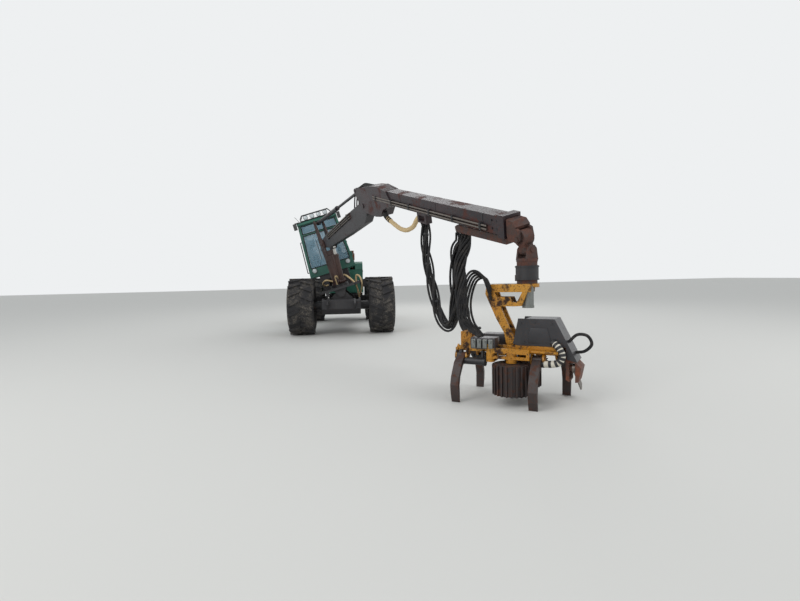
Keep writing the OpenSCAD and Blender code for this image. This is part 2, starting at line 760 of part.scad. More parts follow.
module outer_boom() {
  cheek_y = main_w / 2 + side_gap + cheek_t / 2;
  half = outer_depth / 2;
  low = outer_rise - half;
  high = outer_rise + half;
  inner_w = main_w + 2 * side_gap + 2;
  color(black) on_tube() {
    difference() {
      union() {
        translate([box_start, -outer_w / 2, -half]) cube([outer_l - box_start, outer_w, outer_depth]);
        translate([outer_l - collar_l, -outer_w / 2 - 22, -half - 22])
          cube([collar_l, outer_w + 44, outer_depth + 44]);
      }
      translate([box_start + 60, -outer_w / 2 + outer_wall, -half + outer_wall])
        cube([outer_l, outer_w - 2 * outer_wall, outer_depth - 2 * outer_wall]);
    }
    translate([bracket_x - 130, -outer_w / 2 - 1, -half - 150]) difference() {
      cube([260, outer_w * 0.5, 151]);
      translate([40, -10, 30]) cube([180, outer_w, 90]);
    }
  }
  color(black) on_outer() {
    for (side = [-1, 1]) side_plate([[-90, -60], [-40, -110], [60, -125], [560, -130], [770, -102],
      [900, 40],
      [1220, low - 4], [1270, low + 50], [1120, high + 3], [760, high + 56], [460, high + 34],
        [120, high - 15],
      [lever[0] + 60, lever[1] + 50], [lever[0], lever[1] + 55], [lever[0] - 50, lever[1] + 20],
      [lever[0] - 30, lever[1] - 45]], cheek_t, side * cheek_y);
    cross_pin(0, 0, boom_pin_d, main_w + 2 * side_gap + 2 * cheek_t + 30);
    for (side = [-1, 1]) cross_pin(lever[0], lever[1], jib_pin, cheek_t + 8, side * (cheek_y + 4));
    side_plate([[330, high - 20], [330, high - 2], [460, high + 34], [760, high + 56], [1100, high + 2],
      [1100, high - 10],
      [760, high + 40], [460, high + 18]], inner_w);
    side_plate([[600, -128], [770, -102], [900, 40], [1220, low - 4], [1220, low + 8], [885, 56],
      [755, -84], [600, -108]], inner_w);
  }
}

// Extension beam sliding in the outer boom, with the tip casting and the hose arm under it
slide_gap = 6;
ext_w = outer_w - 2 * outer_wall - 2 * slide_gap;
ext_h = outer_depth - 2 * outer_wall - 2 * slide_gap;
ext_back = 700;
tip_x_local = outer_l + tip_out;
hinge_w = 150;
ear_t = 32;

module extension() {
  color(rust) on_tube() {
    difference() {
      translate([ext_back, -ext_w / 2, -ext_h / 2]) cube([outer_l + 70 - ext_back, ext_w, ext_h]);
      translate([ext_back - 1, -ext_w / 2 + 16, -ext_h / 2 + 16])
        cube([outer_l - ext_back, ext_w - 32, ext_h - 32]);
    }
    difference() {
      union() {
        side_plate([[outer_l + 20, -ext_h / 2], [outer_l + 20, ext_h / 2], [outer_l + 120, ext_h / 2 - 5],
          [tip_x_local - 10, 30], [tip_x_local - 60, -60], [tip_x_local - 110, -tip_drop + 10],
            [outer_l + 40, -tip_drop - 50]],
          hinge_w + 2 * ear_t);
        for (side = [-1, 1]) side_plate([[tip_x_local - 110, 40], [tip_x_local + 30, 0],
          [tip_x_local + 55, -tip_drop],
          [tip_x_local, -tip_drop - 55], [tip_x_local - 60, -tip_drop - 40],
            [outer_l + 40, -tip_drop - 50]],
          ear_t, side * (hinge_w + ear_t) / 2);
      }
      cross_pin(tip_x_local, -tip_drop, 2 * 105, hinge_w);
    }
    cross_pin(tip_x_local, -tip_drop, tip_pin_d, hinge_w + 2 * ear_t + 20);
    hose_arm();
  }
}

// Arm that hangs the hoses clear under the boom tip, part of the extension
arm_w = 110;
arm_l = 1150;

module hose_arm() {
  low = -outer_depth / 2 - 30;
  side_plate([[outer_l + 70, low], [outer_l - 100, low], [outer_l - arm_l + 60, low - 12],
    [outer_l - arm_l, low - 45],
    [outer_l - arm_l + 10, low - 100],
    [outer_l - arm_l + 80, low - 118], [outer_l - 60, low - 90], [outer_l + 50, low - 30]], arm_w);
}

// Cross link at the tip: upper hub across the boom, lower hub along it
link_hub_d = 190;
low_hub_d = 130;
low_hub_l = 130;

module tip_link() {
  color(rust) on_link() difference() {
    union() {
      cross_pin(0, 0, link_hub_d, hinge_w - 2 * side_gap);
      translate([-50, -65, -link_drop]) cube([100, 130, link_drop]);
      translate([-low_hub_l / 2, 0, -link_drop]) rotate([0, 90, 0]) cylinder(d = low_hub_d, h = low_hub_l);
    }
    cross_pin(0, 0, tip_pin_d + 2 * pin_gap, hinge_w);
    translate([-low_hub_l, 0, -link_drop]) rotate([0, 90, 0]) cylinder(d = tip_pin_d + 2 * pin_gap,
      h = 2 * low_hub_l);
  }
}

// Rotator: fork on the link's lower hub and the motor body
rot_d = 230;
rot_fork_t = 28;
rot_base = yoke_top_z + 1;
link_heading = atan2(cos(hang_in) * sin(slew) * cos(deck_lean) + sin(hang_in) * sin(deck_lean),
  cos(hang_in) * cos(slew));

module rotator() {
  reach = low_hub_l / 2 + side_gap;
  color(black) carrier() translate([turn_x, turn_y, 0]) rotate([0, 0, link_heading]) {
    for (side = [-1, 1]) translate([side * (reach + rot_fork_t / 2) - rot_fork_t / 2, 0, 0])
      rotate([90, 0, 90]) linear_extrude(rot_fork_t) polygon([[-80, turn_z - 110], [-60, turn_z + 20],
        [-30, turn_z + 55], [30, turn_z + 55], [60, turn_z + 20], [80, turn_z - 110]]);
    translate([-reach - rot_fork_t - 12, 0, turn_z]) rotate([0, 90, 0])
      cylinder(d = tip_pin_d, h = 2 * (reach + rot_fork_t + 12));
    translate([0, 0, turn_z - 130]) cylinder(d = rot_d + 10, h = 35);
    translate([0, 0, rot_base]) cylinder(d = rot_d, h = turn_z - 120 - rot_base);
    translate([-rot_d / 2 - 30, -60, rot_base + 30]) cube([80, 120, 70]);
  }
}

// Tilt frame: beam under the rotator, bent leg and rear strut, fork at the tilt pin
tilt_x = -150;
tilt_z = 680;
tilt_pin_d = 60;
tilt_lug_w = 120;
tilt_fork_t = 30;
tilt_ram_pin = 36;
tilt_ram_w = 46;
tilt_ram_top = [-190, 1150];
tilt_ram_low = [-20, 640];

module tilt_frame() {
  gap = tilt_lug_w / 2 + side_gap + tilt_fork_t / 2;
  color(yellow) on_head() {
    for (side = [-1, 1]) side_plate([[tilt_x - 50, tilt_z - 20], [tilt_x, tilt_z - 55],
      [tilt_x + 50, tilt_z - 20],
      [tilt_x + 45, tilt_z + 40], [tilt_x - 60, 950], [-330, 1240], [80, 1240], [90, yoke_top_z - 15],
        [60, yoke_top_z],
      [-370, yoke_top_z], [-430, yoke_top_z - 40], [-440, yoke_top_z - 110], [-310, 930],
        [tilt_x - 75, 780]],
      tilt_fork_t, side * gap);
    for (side = [-1, 1]) side_plate([[-10, 1245], [45, 1245], [-20, 1085], [-95, 1085]], tilt_fork_t,
      side * gap);
    for (side = [-1, 1]) side_plate([[-320, 1185], [-150, 1185], [-130, 1130], [-95, 1125], [-20, 1085],
      [-95, 1080],
      [-250, 1080], [-285, 1085]],
      tilt_fork_t, side * gap);
    translate([-380, -gap - tilt_fork_t / 2, yoke_top_z - 26]) cube([455, 2 * gap + tilt_fork_t, 26]);
    translate([-435, -gap, yoke_top_z - 120]) cube([30, 2 * gap, 95]);
    cross_pin(tilt_x, tilt_z, tilt_pin_d, tilt_lug_w + 2 * side_gap + 2 * tilt_fork_t + 20);
    cross_pin(tilt_ram_top[0], tilt_ram_top[1], tilt_ram_pin, 2 * gap + tilt_fork_t + 14);
    translate([0, -head_off, yoke_top_z - 40]) cylinder(d = rot_d + 40, h = 40.5);
  }
}

// Spine of the head with its side rails, tilt lug, knife hinge tubes and saw box
front_x = -700;
rear_knife_x = 175;
far_knife_shift = 195;
knife_y = 190;
knife_z = 503;
knife_tube_d = 90;
knife_pin_d = 46;
saw_x = 470;
rail_t = 20;
spine_back = -790;
spine_front = 455;
spine_top = spine_z + 90;
ear_w = 20;
ear_outline = [[spine_w / 2 - 60, spine_z + 10], [spine_w / 2 - 60, spine_z - 40],
  [knife_y - 40, knife_z - 45],
  [knife_y + 30, knife_z - 45], [knife_y + 50, knife_z], [knife_y + 30, knife_z + 45],
    [spine_w / 2 - 30, spine_z + 70]];
arm_pivot = [-330, 260];
// Knives: name, place along the feed line, side
knives = [
  ["front_near", front_x, -1],
  ["front_far", front_x, 1],
  ["rear_near", rear_knife_x, -1],
  ["rear_far", rear_knife_x + far_knife_shift, 1]];
arm_hub_d = 96;
lug_t = 26;

module head_frame() {
  color(yellow) on_head() {
    translate([spine_back, -spine_w / 2, spine_z]) cube([spine_front - spine_back, spine_w, rail_t]);
    for (side = [-1, 1]) side_plate([[spine_back, spine_z], [spine_back, spine_z + 30],
      [-640, spine_top + 20], [-560, spine_top + 40], [-260, spine_top], [420, spine_top],
        [spine_front, spine_z + 30],
      [spine_front, spine_z]], rail_t, side * (spine_w - rail_t) / 2);
    difference() {
      for (side = [-1, 1]) side_plate([[tilt_x - 70, spine_z + 10], [tilt_x + 70, spine_z + 10],
        [tilt_x + 40, tilt_z + 48], [tilt_x - 40, tilt_z + 48]], 30, side * (tilt_lug_w - 30) / 2);
      cross_pin(tilt_x, tilt_z, tilt_pin_d + 2 * pin_gap, tilt_lug_w + 2);
    }
    fork([[tilt_ram_low[0] - 50, spine_z + 10], [tilt_ram_low[0] + 50, spine_z + 10],
      [tilt_ram_low[0] + 30, tilt_ram_low[1] + 30],
      [tilt_ram_low[0] - 30, tilt_ram_low[1] + 30]], tilt_ram_low[0], tilt_ram_low[1], tilt_ram_w, 20,
        tilt_ram_pin);
    translate([spine_back + 20, -50, spine_z + 1]) cube([140, 160, 205]);
    for (side = [-1, 1]) translate([arm_pivot[0], side * arm_pivot[1], 0]) {
      for (z = [hub_low - 2 - lug_t, hub_top + 2]) {
        translate([0, 0, z]) cylinder(d = arm_hub_d, h = lug_t);
        translate([-40, side > 0 ? -arm_pivot[1] + spine_w / 2 - rail_t : -2, z])
          cube([80, arm_pivot[1] - spine_w / 2 + rail_t + 2, lug_t]);
      }
      translate([0, 0, hub_low - 2 - lug_t]) cylinder(d = knife_pin_d,
        h = hub_top - hub_low + 4 + 2 * lug_t);
      translate([-40, side > 0 ? -arm_pivot[1] + spine_w / 2 - rail_t : arm_pivot[1] - spine_w / 2,
        hub_low - 2 - lug_t])
        cube([80, rail_t, spine_z + 20 - hub_low + 2 + lug_t]);
    }
    for (k = knives) for (end = [-1, 1])
      translate([k[1] + end * (knife_w / 2 + side_gap + ear_w / 2) - ear_w / 2, 0, 0]) rotate([90, 0, 90])
        linear_extrude(ear_w) polygon([for (p = ear_outline) [k[2] * p[0], p[1]]]);
    for (k = knives) translate([k[1] - knife_w / 2 - side_gap - ear_w - 8, k[2] * knife_y, knife_z])
      rotate([0, 90, 0]) cylinder(d = knife_pin_d, h = knife_w + 2 * side_gap + 2 * ear_w + 16);
  }
}

// A knife: hub tube along the feed line and the hooked blade down to its tip
blade_out = [[knife_y + 30, knife_z + 22], [knife_y + 140, knife_z - 60], [knife_y + 232, knife_z - 205],
  [knife_y + 262, 200], [knife_y + 250, 95], [knife_y + 222, 0]];
blade_in = [[knife_y + 206, 2], [knife_y + 208, 95], [knife_y + 212, 190], [knife_y + 180, knife_z - 210],
  [knife_y + 100, knife_z - 105], [knife_y + 5, knife_z - 30]];

module knife(i) {
  color(black) on_head() translate([knives[i][1], 0, 0]) difference() {
    union() {
      translate([-knife_w / 2, 0, 0]) rotate([90, 0, 90]) linear_extrude(knife_w)
        polygon([for (p = concat(blade_out, blade_in)) [knives[i][2] * p[0], p[1]]]);
      translate([-knife_w / 2, knives[i][2] * knife_y, knife_z]) rotate([0, 90, 0])
        cylinder(d = knife_tube_d, h = knife_w);
    }
    translate([-knife_w, knives[i][2] * knife_y, knife_z]) rotate([0, 90, 0])
      cylinder(d = knife_pin_d + 2 * pin_gap, h = 2 * knife_w);
  }
}

// Feed arm: hub on the spine's pivot, two bars and the motor over the roller
roller_x = -100;
roller_y = 235;
roller_z = 120;
arm_end = 105;
motor_d = 120;
hub_low = 496;
hub_top = 638;

module feed_arm(side) {
  color(yellow) on_head() difference() {
    union() {
      translate([arm_pivot[0], side * arm_pivot[1], hub_low]) cylinder(d = arm_hub_d,
        h = hub_top - hub_low);
      for (z = [hub_low + 10, hub_top - 70]) translate([arm_pivot[0], side * (arm_pivot[1] + 10) - 20, z])
        cube([arm_end - arm_pivot[0], 40, z < 520 ? 32 : 55]);
      translate([arm_end - 30, side * (arm_pivot[1] + 10) - 20, hub_low + 10])
        cube([30, 40, hub_top - hub_low - 40]);
      translate([roller_x, side * roller_y, roller_z + roller_h + 6]) cylinder(d = motor_d, h = 110);
      translate([roller_x - 50, side > 0 ? roller_y : -arm_pivot[1] - 10, roller_z + roller_h + 12])
        cube([100, 35, 70]);
    }
    translate([arm_pivot[0], side * arm_pivot[1], hub_low - 1])
      cylinder(d = knife_pin_d + 2 * pin_gap, h = hub_top);
  }
}

module roller(side) {
  rib_w = 16;
  color(rust) on_head() translate([roller_x, side * roller_y, roller_z]) {
    cylinder(r = roller_d / 2 - 22, h = roller_h);
    for (k = [0:roller_ribs - 1]) rotate([0, 0, k * 360 / roller_ribs])
      translate([roller_d / 2 - 40, -rib_w / 2, 0]) cube([39, rib_w, roller_h - 8]);
    translate([0, 0, roller_h - 1]) cylinder(d = motor_d * 0.5, h = 6.7);
  }
}

// Hood over the saw end, an open shell
hood_t = 14;
hood_half = 154;

module head_hood() {
  color(black) on_head() difference() {
    side_plate([[-60, spine_top + 0.3], [-105, spine_top + 15], [-45, 950], [350, 950], [575, 500],
      [470, 520],
      [spine_front + 5, spine_top + 0.3]], 2 * hood_half);
    side_plate([[-91, 600], [-91, 664], [-33, 950 - hood_t], [341, 950 - hood_t], [569, 480], [440, 480],
      [440, 600]],
      2 * (hood_half - hood_t));
    translate([-220, -hood_half + hood_t, 640]) cube([260, 2 * (hood_half - hood_t), 420]);
  }
}

// Saw box and the swinging guide bar
saw_pivot = [-60, 420];
bar_x = 530;
bar_t = 12;
bar_l = 560;
bar_angle = -32;

module saw_box() {
  color(rust) on_head() difference() {
    side_plate([[spine_front, 300], [spine_front, 640], [478, 640], [498, 600], [534, 540], [556, 490],
      [612, 430],
      [580, 280], [500, 270]], 260);
    translate([bar_x - 40, -200, 200]) cube([60, 400, 285]);
  }
  color(rust) on_head() translate([bar_x - 41, saw_pivot[0], saw_pivot[1]]) rotate([0, 90, 0])
    cylinder(d = 70, h = 27);
}

module saw_bar() {
  color(steel) on_head() translate([bar_x, saw_pivot[0], saw_pivot[1]]) rotate([bar_angle, 0, 0]) {
    translate([-bar_t / 2, 0, -42]) cube([bar_t, bar_l, 84]);
    translate([-bar_t / 2, bar_l, 0]) rotate([0, 90, 0]) cylinder(d = 84, h = bar_t);
    translate([-bar_t / 2 - 7.7, 0, 0]) rotate([0, 90, 0]) cylinder(d = 100, h = bar_t + 14);
  }
}

// Cab: tapered box seen from the front, hollow, with its windows cut
roof_h = 90;
post_w = 75;
bar_h = 50;
bar_z = 1190;
door_x = [-2120, -1130];
door_low = 90;
panel_gap = 6;

function cab_half(z) = cab_w / 2 - cab_taper * z / cab_h;

// A slab between two heights above the cab floor, its sides following the taper
module cab_slab(x0, x1, z0, z1, inset = 0) {
  translate([x0, 0, cab_floor]) rotate([90, 0, 90]) linear_extrude(x1 - x0)
    polygon([[-cab_half(z0) + inset, z0], [cab_half(z0) - inset, z0], [cab_half(z1) - inset, z1],
      [-cab_half(z1) + inset, z1]]);
}

// Door outline as seen from the side, grown or shrunk by a margin
module door_cut(margin, y0, y1) {
  translate([0, y1, cab_floor]) rotate([90, 0, 0]) linear_extrude(y1 - y0)
    polygon([[door_x[0] - margin, door_low + 300 - margin], [door_x[0] + 220 - margin, door_low - margin],
      [door_x[1] + margin, door_low - margin], [door_x[1] + margin, cab_h - roof_h - 60 + margin],
      [door_x[0] - margin, cab_h - roof_h - 60 + margin]]);
}

module side_window(x0, x1, z0, z1, side) {
  translate([x0, side > 0 ? 300 : -800, cab_floor + z0]) cube([x1 - x0, 500, z1 - z0]);
}

module cab_shell() {
  wall_top = cab_h - roof_h;
  color(green) on_cab() at_door_hinges() hinge_fixed();
  color(green) on_cab() difference() {
    cab_slab(cab_back, cab_front, 1, wall_top);
    cab_slab(cab_back + cab_t, cab_front - cab_t, cab_t, wall_top + 1, cab_t);
    for (z = [[sill_h, bar_z - bar_h / 2], [bar_z + bar_h / 2, wall_top - 34]])
      cab_slab(cab_front - cab_t - 1, cab_front + 1, z[0], z[1], post_w);
    cab_slab(cab_back - 1, cab_back + cab_t + 1, sill_h + 250, wall_top - 60, post_w);
    side_window(cab_back + 110, door_x[1], sill_h + 60, wall_top - 70, -1);
    side_window(door_x[1] + 30, cab_front - 70, sill_h + 60, wall_top - 70, -1);
    door_cut(panel_gap, 0, 900);
  }
}

// Panes set in the middle of the posts' thickness
module cab_glass() {
  wall_top = cab_h - roof_h;
  mid = (cab_t - glass_t) / 2;
  color(glass, 0.4) on_cab() {
    for (z = [[sill_h, bar_z - bar_h / 2], [bar_z + bar_h / 2, wall_top - 34]])
      cab_slab(cab_front - cab_t + mid, cab_front - mid, z[0] + 0.3, z[1] - 0.3, post_w + 0.3);
    cab_slab(cab_back + mid, cab_back + cab_t - mid, sill_h + 250.3, wall_top - 60.3, post_w + 0.3);
    intersection() {
      difference() {
        cab_slab(cab_back + 50, cab_front - 50, sill_h, wall_top - 1, mid);
        cab_slab(cab_back, cab_front, sill_h - 1, wall_top, mid + glass_t);
      }
      union() {
        side_window(cab_back + 110.3, door_x[1] - 0.3, sill_h + 60.3, wall_top - 70.3, -1);
        side_window(door_x[1] + 30.3, cab_front - 70.3, sill_h + 60.3, wall_top - 70.3, -1);
      }
    }
  }
}

door_pane = 85;

module cab_door() {
  color(green) on_cab() at_door_hinges() hinge_moving();
  color(green) on_cab() difference() {
    intersection() {
      difference() {
        cab_slab(cab_back, cab_front, 1, cab_h - roof_h);
        cab_slab(cab_back - 1, cab_front + 1, 0, cab_h, cab_t);
      }
      door_cut(0, 0, 900);
    }
    door_cut(-door_pane, 0, 900);
  }
}

module door_glass() {
  mid = (cab_t - glass_t) / 2;
  color(glass, 0.4) on_cab() intersection() {
    difference() {
      cab_slab(cab_back, cab_front, 1, cab_h - roof_h, mid);
      cab_slab(cab_back - 1, cab_front + 1, 0, cab_h, mid + glass_t);
    }
    door_cut(-door_pane - 0.3, 0, 900);
  }
}

module cab_roof() {
  low = cab_h - roof_h + 0.3;
  color(green) on_cab() {
    cab_slab(cab_back - 20, cab_front + 70, low, cab_h - 30, -10);
    cab_slab(cab_back + 40, cab_front - 40, cab_h - 31, cab_h, 40);
  }
}

// Lamp guard on the roof's front edge with four round lamps, side lamps and low lamps
lamp_d = 125;
guard_w = 880;
guard_h = 165;

module round_lamp(x, y, z, d) {
  translate([x, y, z]) rotate([0, 90, 0]) {
    cylinder(d = d, h = 60);
    translate([0, 0, -40]) cylinder(d = d * 0.7, h = 41);
  }
}

module cab_lights() {
  w = guard_w / 2;
  color(black) on_cab() {
    difference() {
      translate([cab_front - 90, 0, cab_floor + cab_h + 0.3]) rotate([90, 0, 90]) linear_extrude(130)
        polygon([[-w, 0], [w, 0], [w, 70], [w - 70, guard_h], [-w + 70, guard_h], [-w, 70]]);
      translate([cab_front - 91, 0, cab_floor + cab_h + 16]) rotate([90, 0, 90]) linear_extrude(200)
        polygon([[-w + 20, 0], [w - 20, 0], [w - 20, 50], [w - 80, guard_h - 34], [-w + 80, guard_h - 34],
          [-w + 20, 50]]);
    }
    for (k = [-1.5:1:1.5]) {
      round_lamp(cab_front - 50, k * 185, cab_floor + cab_h + 82, lamp_d);
      translate([cab_front - 60, k * 185 - 15, cab_floor + cab_h + 8]) cube([30, 30, 40]);
    }
    for (side = [-1, 1]) {
      translate([cab_front + 60, side * (cab_half(cab_h) + 70) - 45, cab_floor + cab_h - 190])
        cube([60, 90, 170]);
      translate([cab_front + 30, side > 0 ? cab_half(cab_h) - 60 : -cab_half(cab_h) - 60,
        cab_floor + cab_h - 29.7])
        cube([60, 120, 30]);
    }
    for (side = [-1, 1]) translate([cab_front + 0.3, side * 480, cab_floor + 170]) rotate([0, 90, 0])
      cylinder(d = 130, h = 45);
  }
}

// Hinge along Z on a flat face at y = 0: fixed leaf on +X, moving leaf on -X
hinge_d = 30;
hinge_out = 19;
hinge_pin_d = 12;

module hinge_fixed() {
  for (z = [-60, 22]) translate([0, 0, z]) {
    translate([0, hinge_out, 0]) cylinder(d = hinge_d, h = 38);
    translate([4, -1, 0]) cube([36, 12, 38]);
    translate([0, hinge_out - 8, 0]) cube([12, 10, 38]);
  }
  translate([0, hinge_out, -60]) cylinder(d = hinge_pin_d, h = 120);
}

module hinge_moving() {
  difference() {
    union() {
      translate([0, hinge_out, -20]) cylinder(d = hinge_d, h = 40);
      translate([-40, -1, -20]) cube([36, 12, 40]);
      translate([-12, hinge_out - 8, -20]) cube([12, 10, 40]);
    }
    translate([0, hinge_out, -21]) cylinder(d = hinge_pin_d + 2 * pin_gap, h = 42);
  }
}

module at_door_hinges() {
  for (z = [350, 1100]) translate([door_x[1] + panel_gap / 2, cab_half(z), cab_floor + z])
    rotate([cab_lean, 0, 0]) children();
}

module at_lid_hinges() {
  for (y = [-400, 400]) translate([hood_back, y, hood_top_z - 320 + lid_gap / 2]) rotate([0, 90, 90])
    children();
}

// Seat: cushion, back and base
seat_x = -1700;

module seat() {
  color(black) on_cab() translate([0, 0, cab_floor + cab_t]) {
    translate([seat_x - 150, -150, 0]) cube([300, 300, 260]);
    translate([seat_x - 260, -260, 259]) cube([520, 520, 130]);
    side_plate([[seat_x - 300, 330], [seat_x - 160, 330], [seat_x - 250, 1060], [seat_x - 370, 1060]], 480);
  }
}

// Control pods on the armrests and the display column
module controls() {
  color(black) on_cab() translate([0, 0, cab_floor + cab_t + 0.3]) {
    for (side = [-1, 1]) {
      translate([seat_x - 100, side * 340 - 55, 0]) cube([120, 110, 520]);
      translate([seat_x - 150, side * 340 - 60, 519]) cube([480, 120, 60]);
      translate([seat_x + 250, side * 340, 578]) cylinder(d = 44, h = 110);
    }
    translate([cab_front - 260, -440, 0]) cube([70, 70, 760]);
    translate([cab_front - 270, -520, 759]) cube([40, 260, 210]);
  }
}

// A hose as one tube of eight sides swept along hand-picked points
function unit(v) = v / norm(v);

module hose(points, d) {
  sides = 8;
  n = len(points);
  rings = [for (i = [0:n - 1])
    let (t = unit(points[min(i + 1, n - 1)] - points[max(i - 1, 0)]),
      side_ref = abs(t[0]) < 0.9 ? [1, 0, 0] : [0, 1, 0],
      u = unit(cross(t, side_ref)), v = cross(t, u))
    [for (k = [0:sides - 1]) points[i] + d / 2 * (cos(k * 360 / sides) * u + sin(k * 360 / sides) * v)]];
  flat = [for (ring = rings) for (p = ring) p];
  walls = [for (i = [0:n - 2]) for (k = [0:sides - 1])
    [i * sides + k, i * sides + (k + 1) % sides, (i + 1) * sides + (k + 1) % sides, (i + 1) * sides + k]];
  caps = [[for (k = [sides - 1:-1:0]) k], [for (k = [0:sides - 1]) (n - 1) * sides + k]];
  polyhedron(points = flat, faces = concat(walls, caps), convexity = 8);
}

// A smooth curve through the points, with some steps between each two
function curve(a, b, c, d, t) = 0.5 * (2 * b + (c - a) * t + (2 * a - 5 * b + 4 * c - d) * t * t
  + (3 * b - a - 3 * c + d) * t * t * t);

function smooth(p, steps) = let (n = len(p)) concat(
  [for (i = [0:n - 2]) for (k = [0:steps - 1])
    curve(p[max(i - 1, 0)], p[i], p[i + 1], p[min(i + 2, n - 1)], k / steps)], [p[n - 1]]);

bundle_d = 100;
sleeve_d = 84;

// Hand-picked routes from the ground point under the front axle
boom_route = [[5106.2, 1427.1, 2246.7], [5072.4, 1440.7, 2141.4], [5180, 1420, 1800], [5330, 1480, 1300],
  [5500, 1560, 860],
  [5680, 1640, 720], [5830, 1690, 860], [5890, 1710, 1300], [5829.1, 1742.4, 1769.8],
    [5823.4, 1814.6, 1911],
  [5869.1, 1795.3, 2050]];
arm_route = [[5974.2, 1840.8, 2012], [5936.9, 1856.6, 1898.8], [6010, 1760, 1600], [6080, 1750, 1200],
  [6230, 1750, 860],
  [6430, 1780, 750], [6510, 1819, 740], [6632.8, 1733.5, 712]];
sleeve_route = [[3841.8, 902.8, 2578.1], [3885.7, 936.6, 2495.6], [4099.1, 1041.3, 2357],
  [4298.6, 1135.1, 2251.7], [4510, 1217.1, 2208.9], [4746.1, 1289.9, 2238.6], [4900.8, 1325.9, 2321.4],
  [4994, 1356.7, 2370.6]];

module hose_bundle_boom() {
  color(black) carrier() hose(smooth(boom_route, 3), bundle_d);
}

module hose_bundle_arm() {
  color(black) carrier() hose(smooth(arm_route, 4), bundle_d);
}

module boom_sleeve() {
  color(cream) carrier() hose(smooth(sleeve_route, 3), sleeve_d);
}

module tyre_fl() { tyre(0); }
module tyre_fr() { tyre(1); }
module tyre_rl() { tyre(2); }
module tyre_rr() { tyre(3); }
module rim_fl() { rim(0); }
module rim_fr() { rim(1); }
module rim_rl() { rim(2); }
module rim_rr() { rim(3); }
module knife_front_near() { knife(0); }
module knife_front_far() { knife(1); }
module knife_rear_near() { knife(2); }
module knife_rear_far() { knife(3); }
module feed_arm_near() { feed_arm(-1); }
module feed_arm_far() { feed_arm(1); }
module roller_near() { roller(-1); }
module roller_far() { roller(1); }

rear_frame();
engine_block();
engine_hood();
hood_lid();
exhaust();
rear_axle();
tyre_fl();
rim_fl();
tyre_fr();
rim_fr();
tyre_rl();
rim_rl();
tyre_rr();
rim_rr();
front_frame();
front_axle();
front_fenders();
level_barrel();
level_rod();
deck();
cab_shell();
cab_glass();
cab_roof();
cab_lights();
cab_door();
door_glass();
seat();
controls();
pillar();
main_boom();
lift_barrel();
lift_rod();
jib_barrel();
jib_rod();
outer_boom();
extension();
boom_sleeve();
tip_link();
rotator();
tilt_frame();
head_frame();
head_hood();
saw_box();
saw_bar();
knife_front_near();
knife_front_far();
knife_rear_near();
knife_rear_far();
feed_arm_near();
feed_arm_far();
roller_near();
roller_far();
hose_bundle_boom();
hose_bundle_arm();
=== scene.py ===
# %% [markdown]
# # A forestry harvester, dressed for the camera
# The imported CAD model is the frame: it gives every size and every joint. This notebook adds what
# makes the machine look used: hoses, bolts, lamps, tread, paint that has chipped and rusted.
# Everything is in metres, in the frame's own axes: +X is the way the machine drives, +Z is up.

# %% Load the frame
import bpy
import bmesh
from math import sin, cos, pi, radians
from mathutils import Matrix, Vector


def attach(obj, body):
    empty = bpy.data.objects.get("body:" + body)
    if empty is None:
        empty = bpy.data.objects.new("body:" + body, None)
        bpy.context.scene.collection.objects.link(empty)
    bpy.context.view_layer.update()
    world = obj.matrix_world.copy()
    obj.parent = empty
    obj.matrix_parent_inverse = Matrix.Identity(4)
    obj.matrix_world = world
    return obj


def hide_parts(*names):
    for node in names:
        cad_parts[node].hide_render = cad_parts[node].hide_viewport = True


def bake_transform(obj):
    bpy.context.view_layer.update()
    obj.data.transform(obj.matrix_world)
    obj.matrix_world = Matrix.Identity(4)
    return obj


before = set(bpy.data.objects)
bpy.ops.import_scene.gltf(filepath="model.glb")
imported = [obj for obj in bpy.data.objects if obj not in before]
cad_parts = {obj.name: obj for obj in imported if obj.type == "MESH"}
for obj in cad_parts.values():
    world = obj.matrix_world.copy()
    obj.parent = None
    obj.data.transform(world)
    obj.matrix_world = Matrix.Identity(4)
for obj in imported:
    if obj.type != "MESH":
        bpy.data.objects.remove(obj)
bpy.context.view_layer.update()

# %% [markdown]
# The crane is slewed and the deck leans, so most parts stand at odd angles. It is much easier to
# model each piece square in its own frame and turn the finished mesh once. These matrices repeat
# the turns that the CAD source makes, one after the other, from the ground up to the felling head.
# MID is the middle of the machine's box on the floor, as the CAD source counts it.

# %% Frames of the machine's groups
def moved(x, y, z):
    return Matrix.Translation((x, y, z))


def turned(degrees, axis):
    return Matrix.Rotation(radians(degrees), 4, axis)


MID = Vector((1.237, 0.802, 0))
DECK_RISE, DECK_LEAN = 1.05, 16
PILLAR_X, CRANE_SLEW = -0.44, 17.6
CAB_FRONT, CAB_SIDE, CAB_FLOOR = -0.96, -0.075, 0.61
MAIN_ROOT_X, MAIN_ROOT_Z = 0.03, 1.371
MAIN_LENGTH, MAIN_UP, OUTER_DOWN = 3.67, 2.8, 20.5
TUBE_RISE = 0.273
ROTATOR_TURN, HEAD_TURN, HEAD_SIDE = 18.26, 55, -0.08
CARRIER = Matrix.Translation(-MID)
DECK = CARRIER @ moved(0, 0, DECK_RISE) @ turned(DECK_LEAN, "X")
CRANE = DECK @ moved(PILLAR_X, 0, 0) @ turned(CRANE_SLEW, "Z")
CAB = DECK @ moved(CAB_FRONT, CAB_SIDE, CAB_FLOOR)
MAIN = CRANE @ moved(MAIN_ROOT_X, 0, MAIN_ROOT_Z) @ turned(-MAIN_UP, "Y")
ELBOW = (MAIN_ROOT_X + MAIN_LENGTH * cos(radians(MAIN_UP)), 0,
         MAIN_ROOT_Z + MAIN_LENGTH * sin(radians(MAIN_UP)))
TUBE = CRANE @ moved(*ELBOW) @ turned(OUTER_DOWN, "Y") @ moved(0, 0, TUBE_RISE)
LOW_PIN = Vector((7.071, 2.2888, 1.7121)) - MID
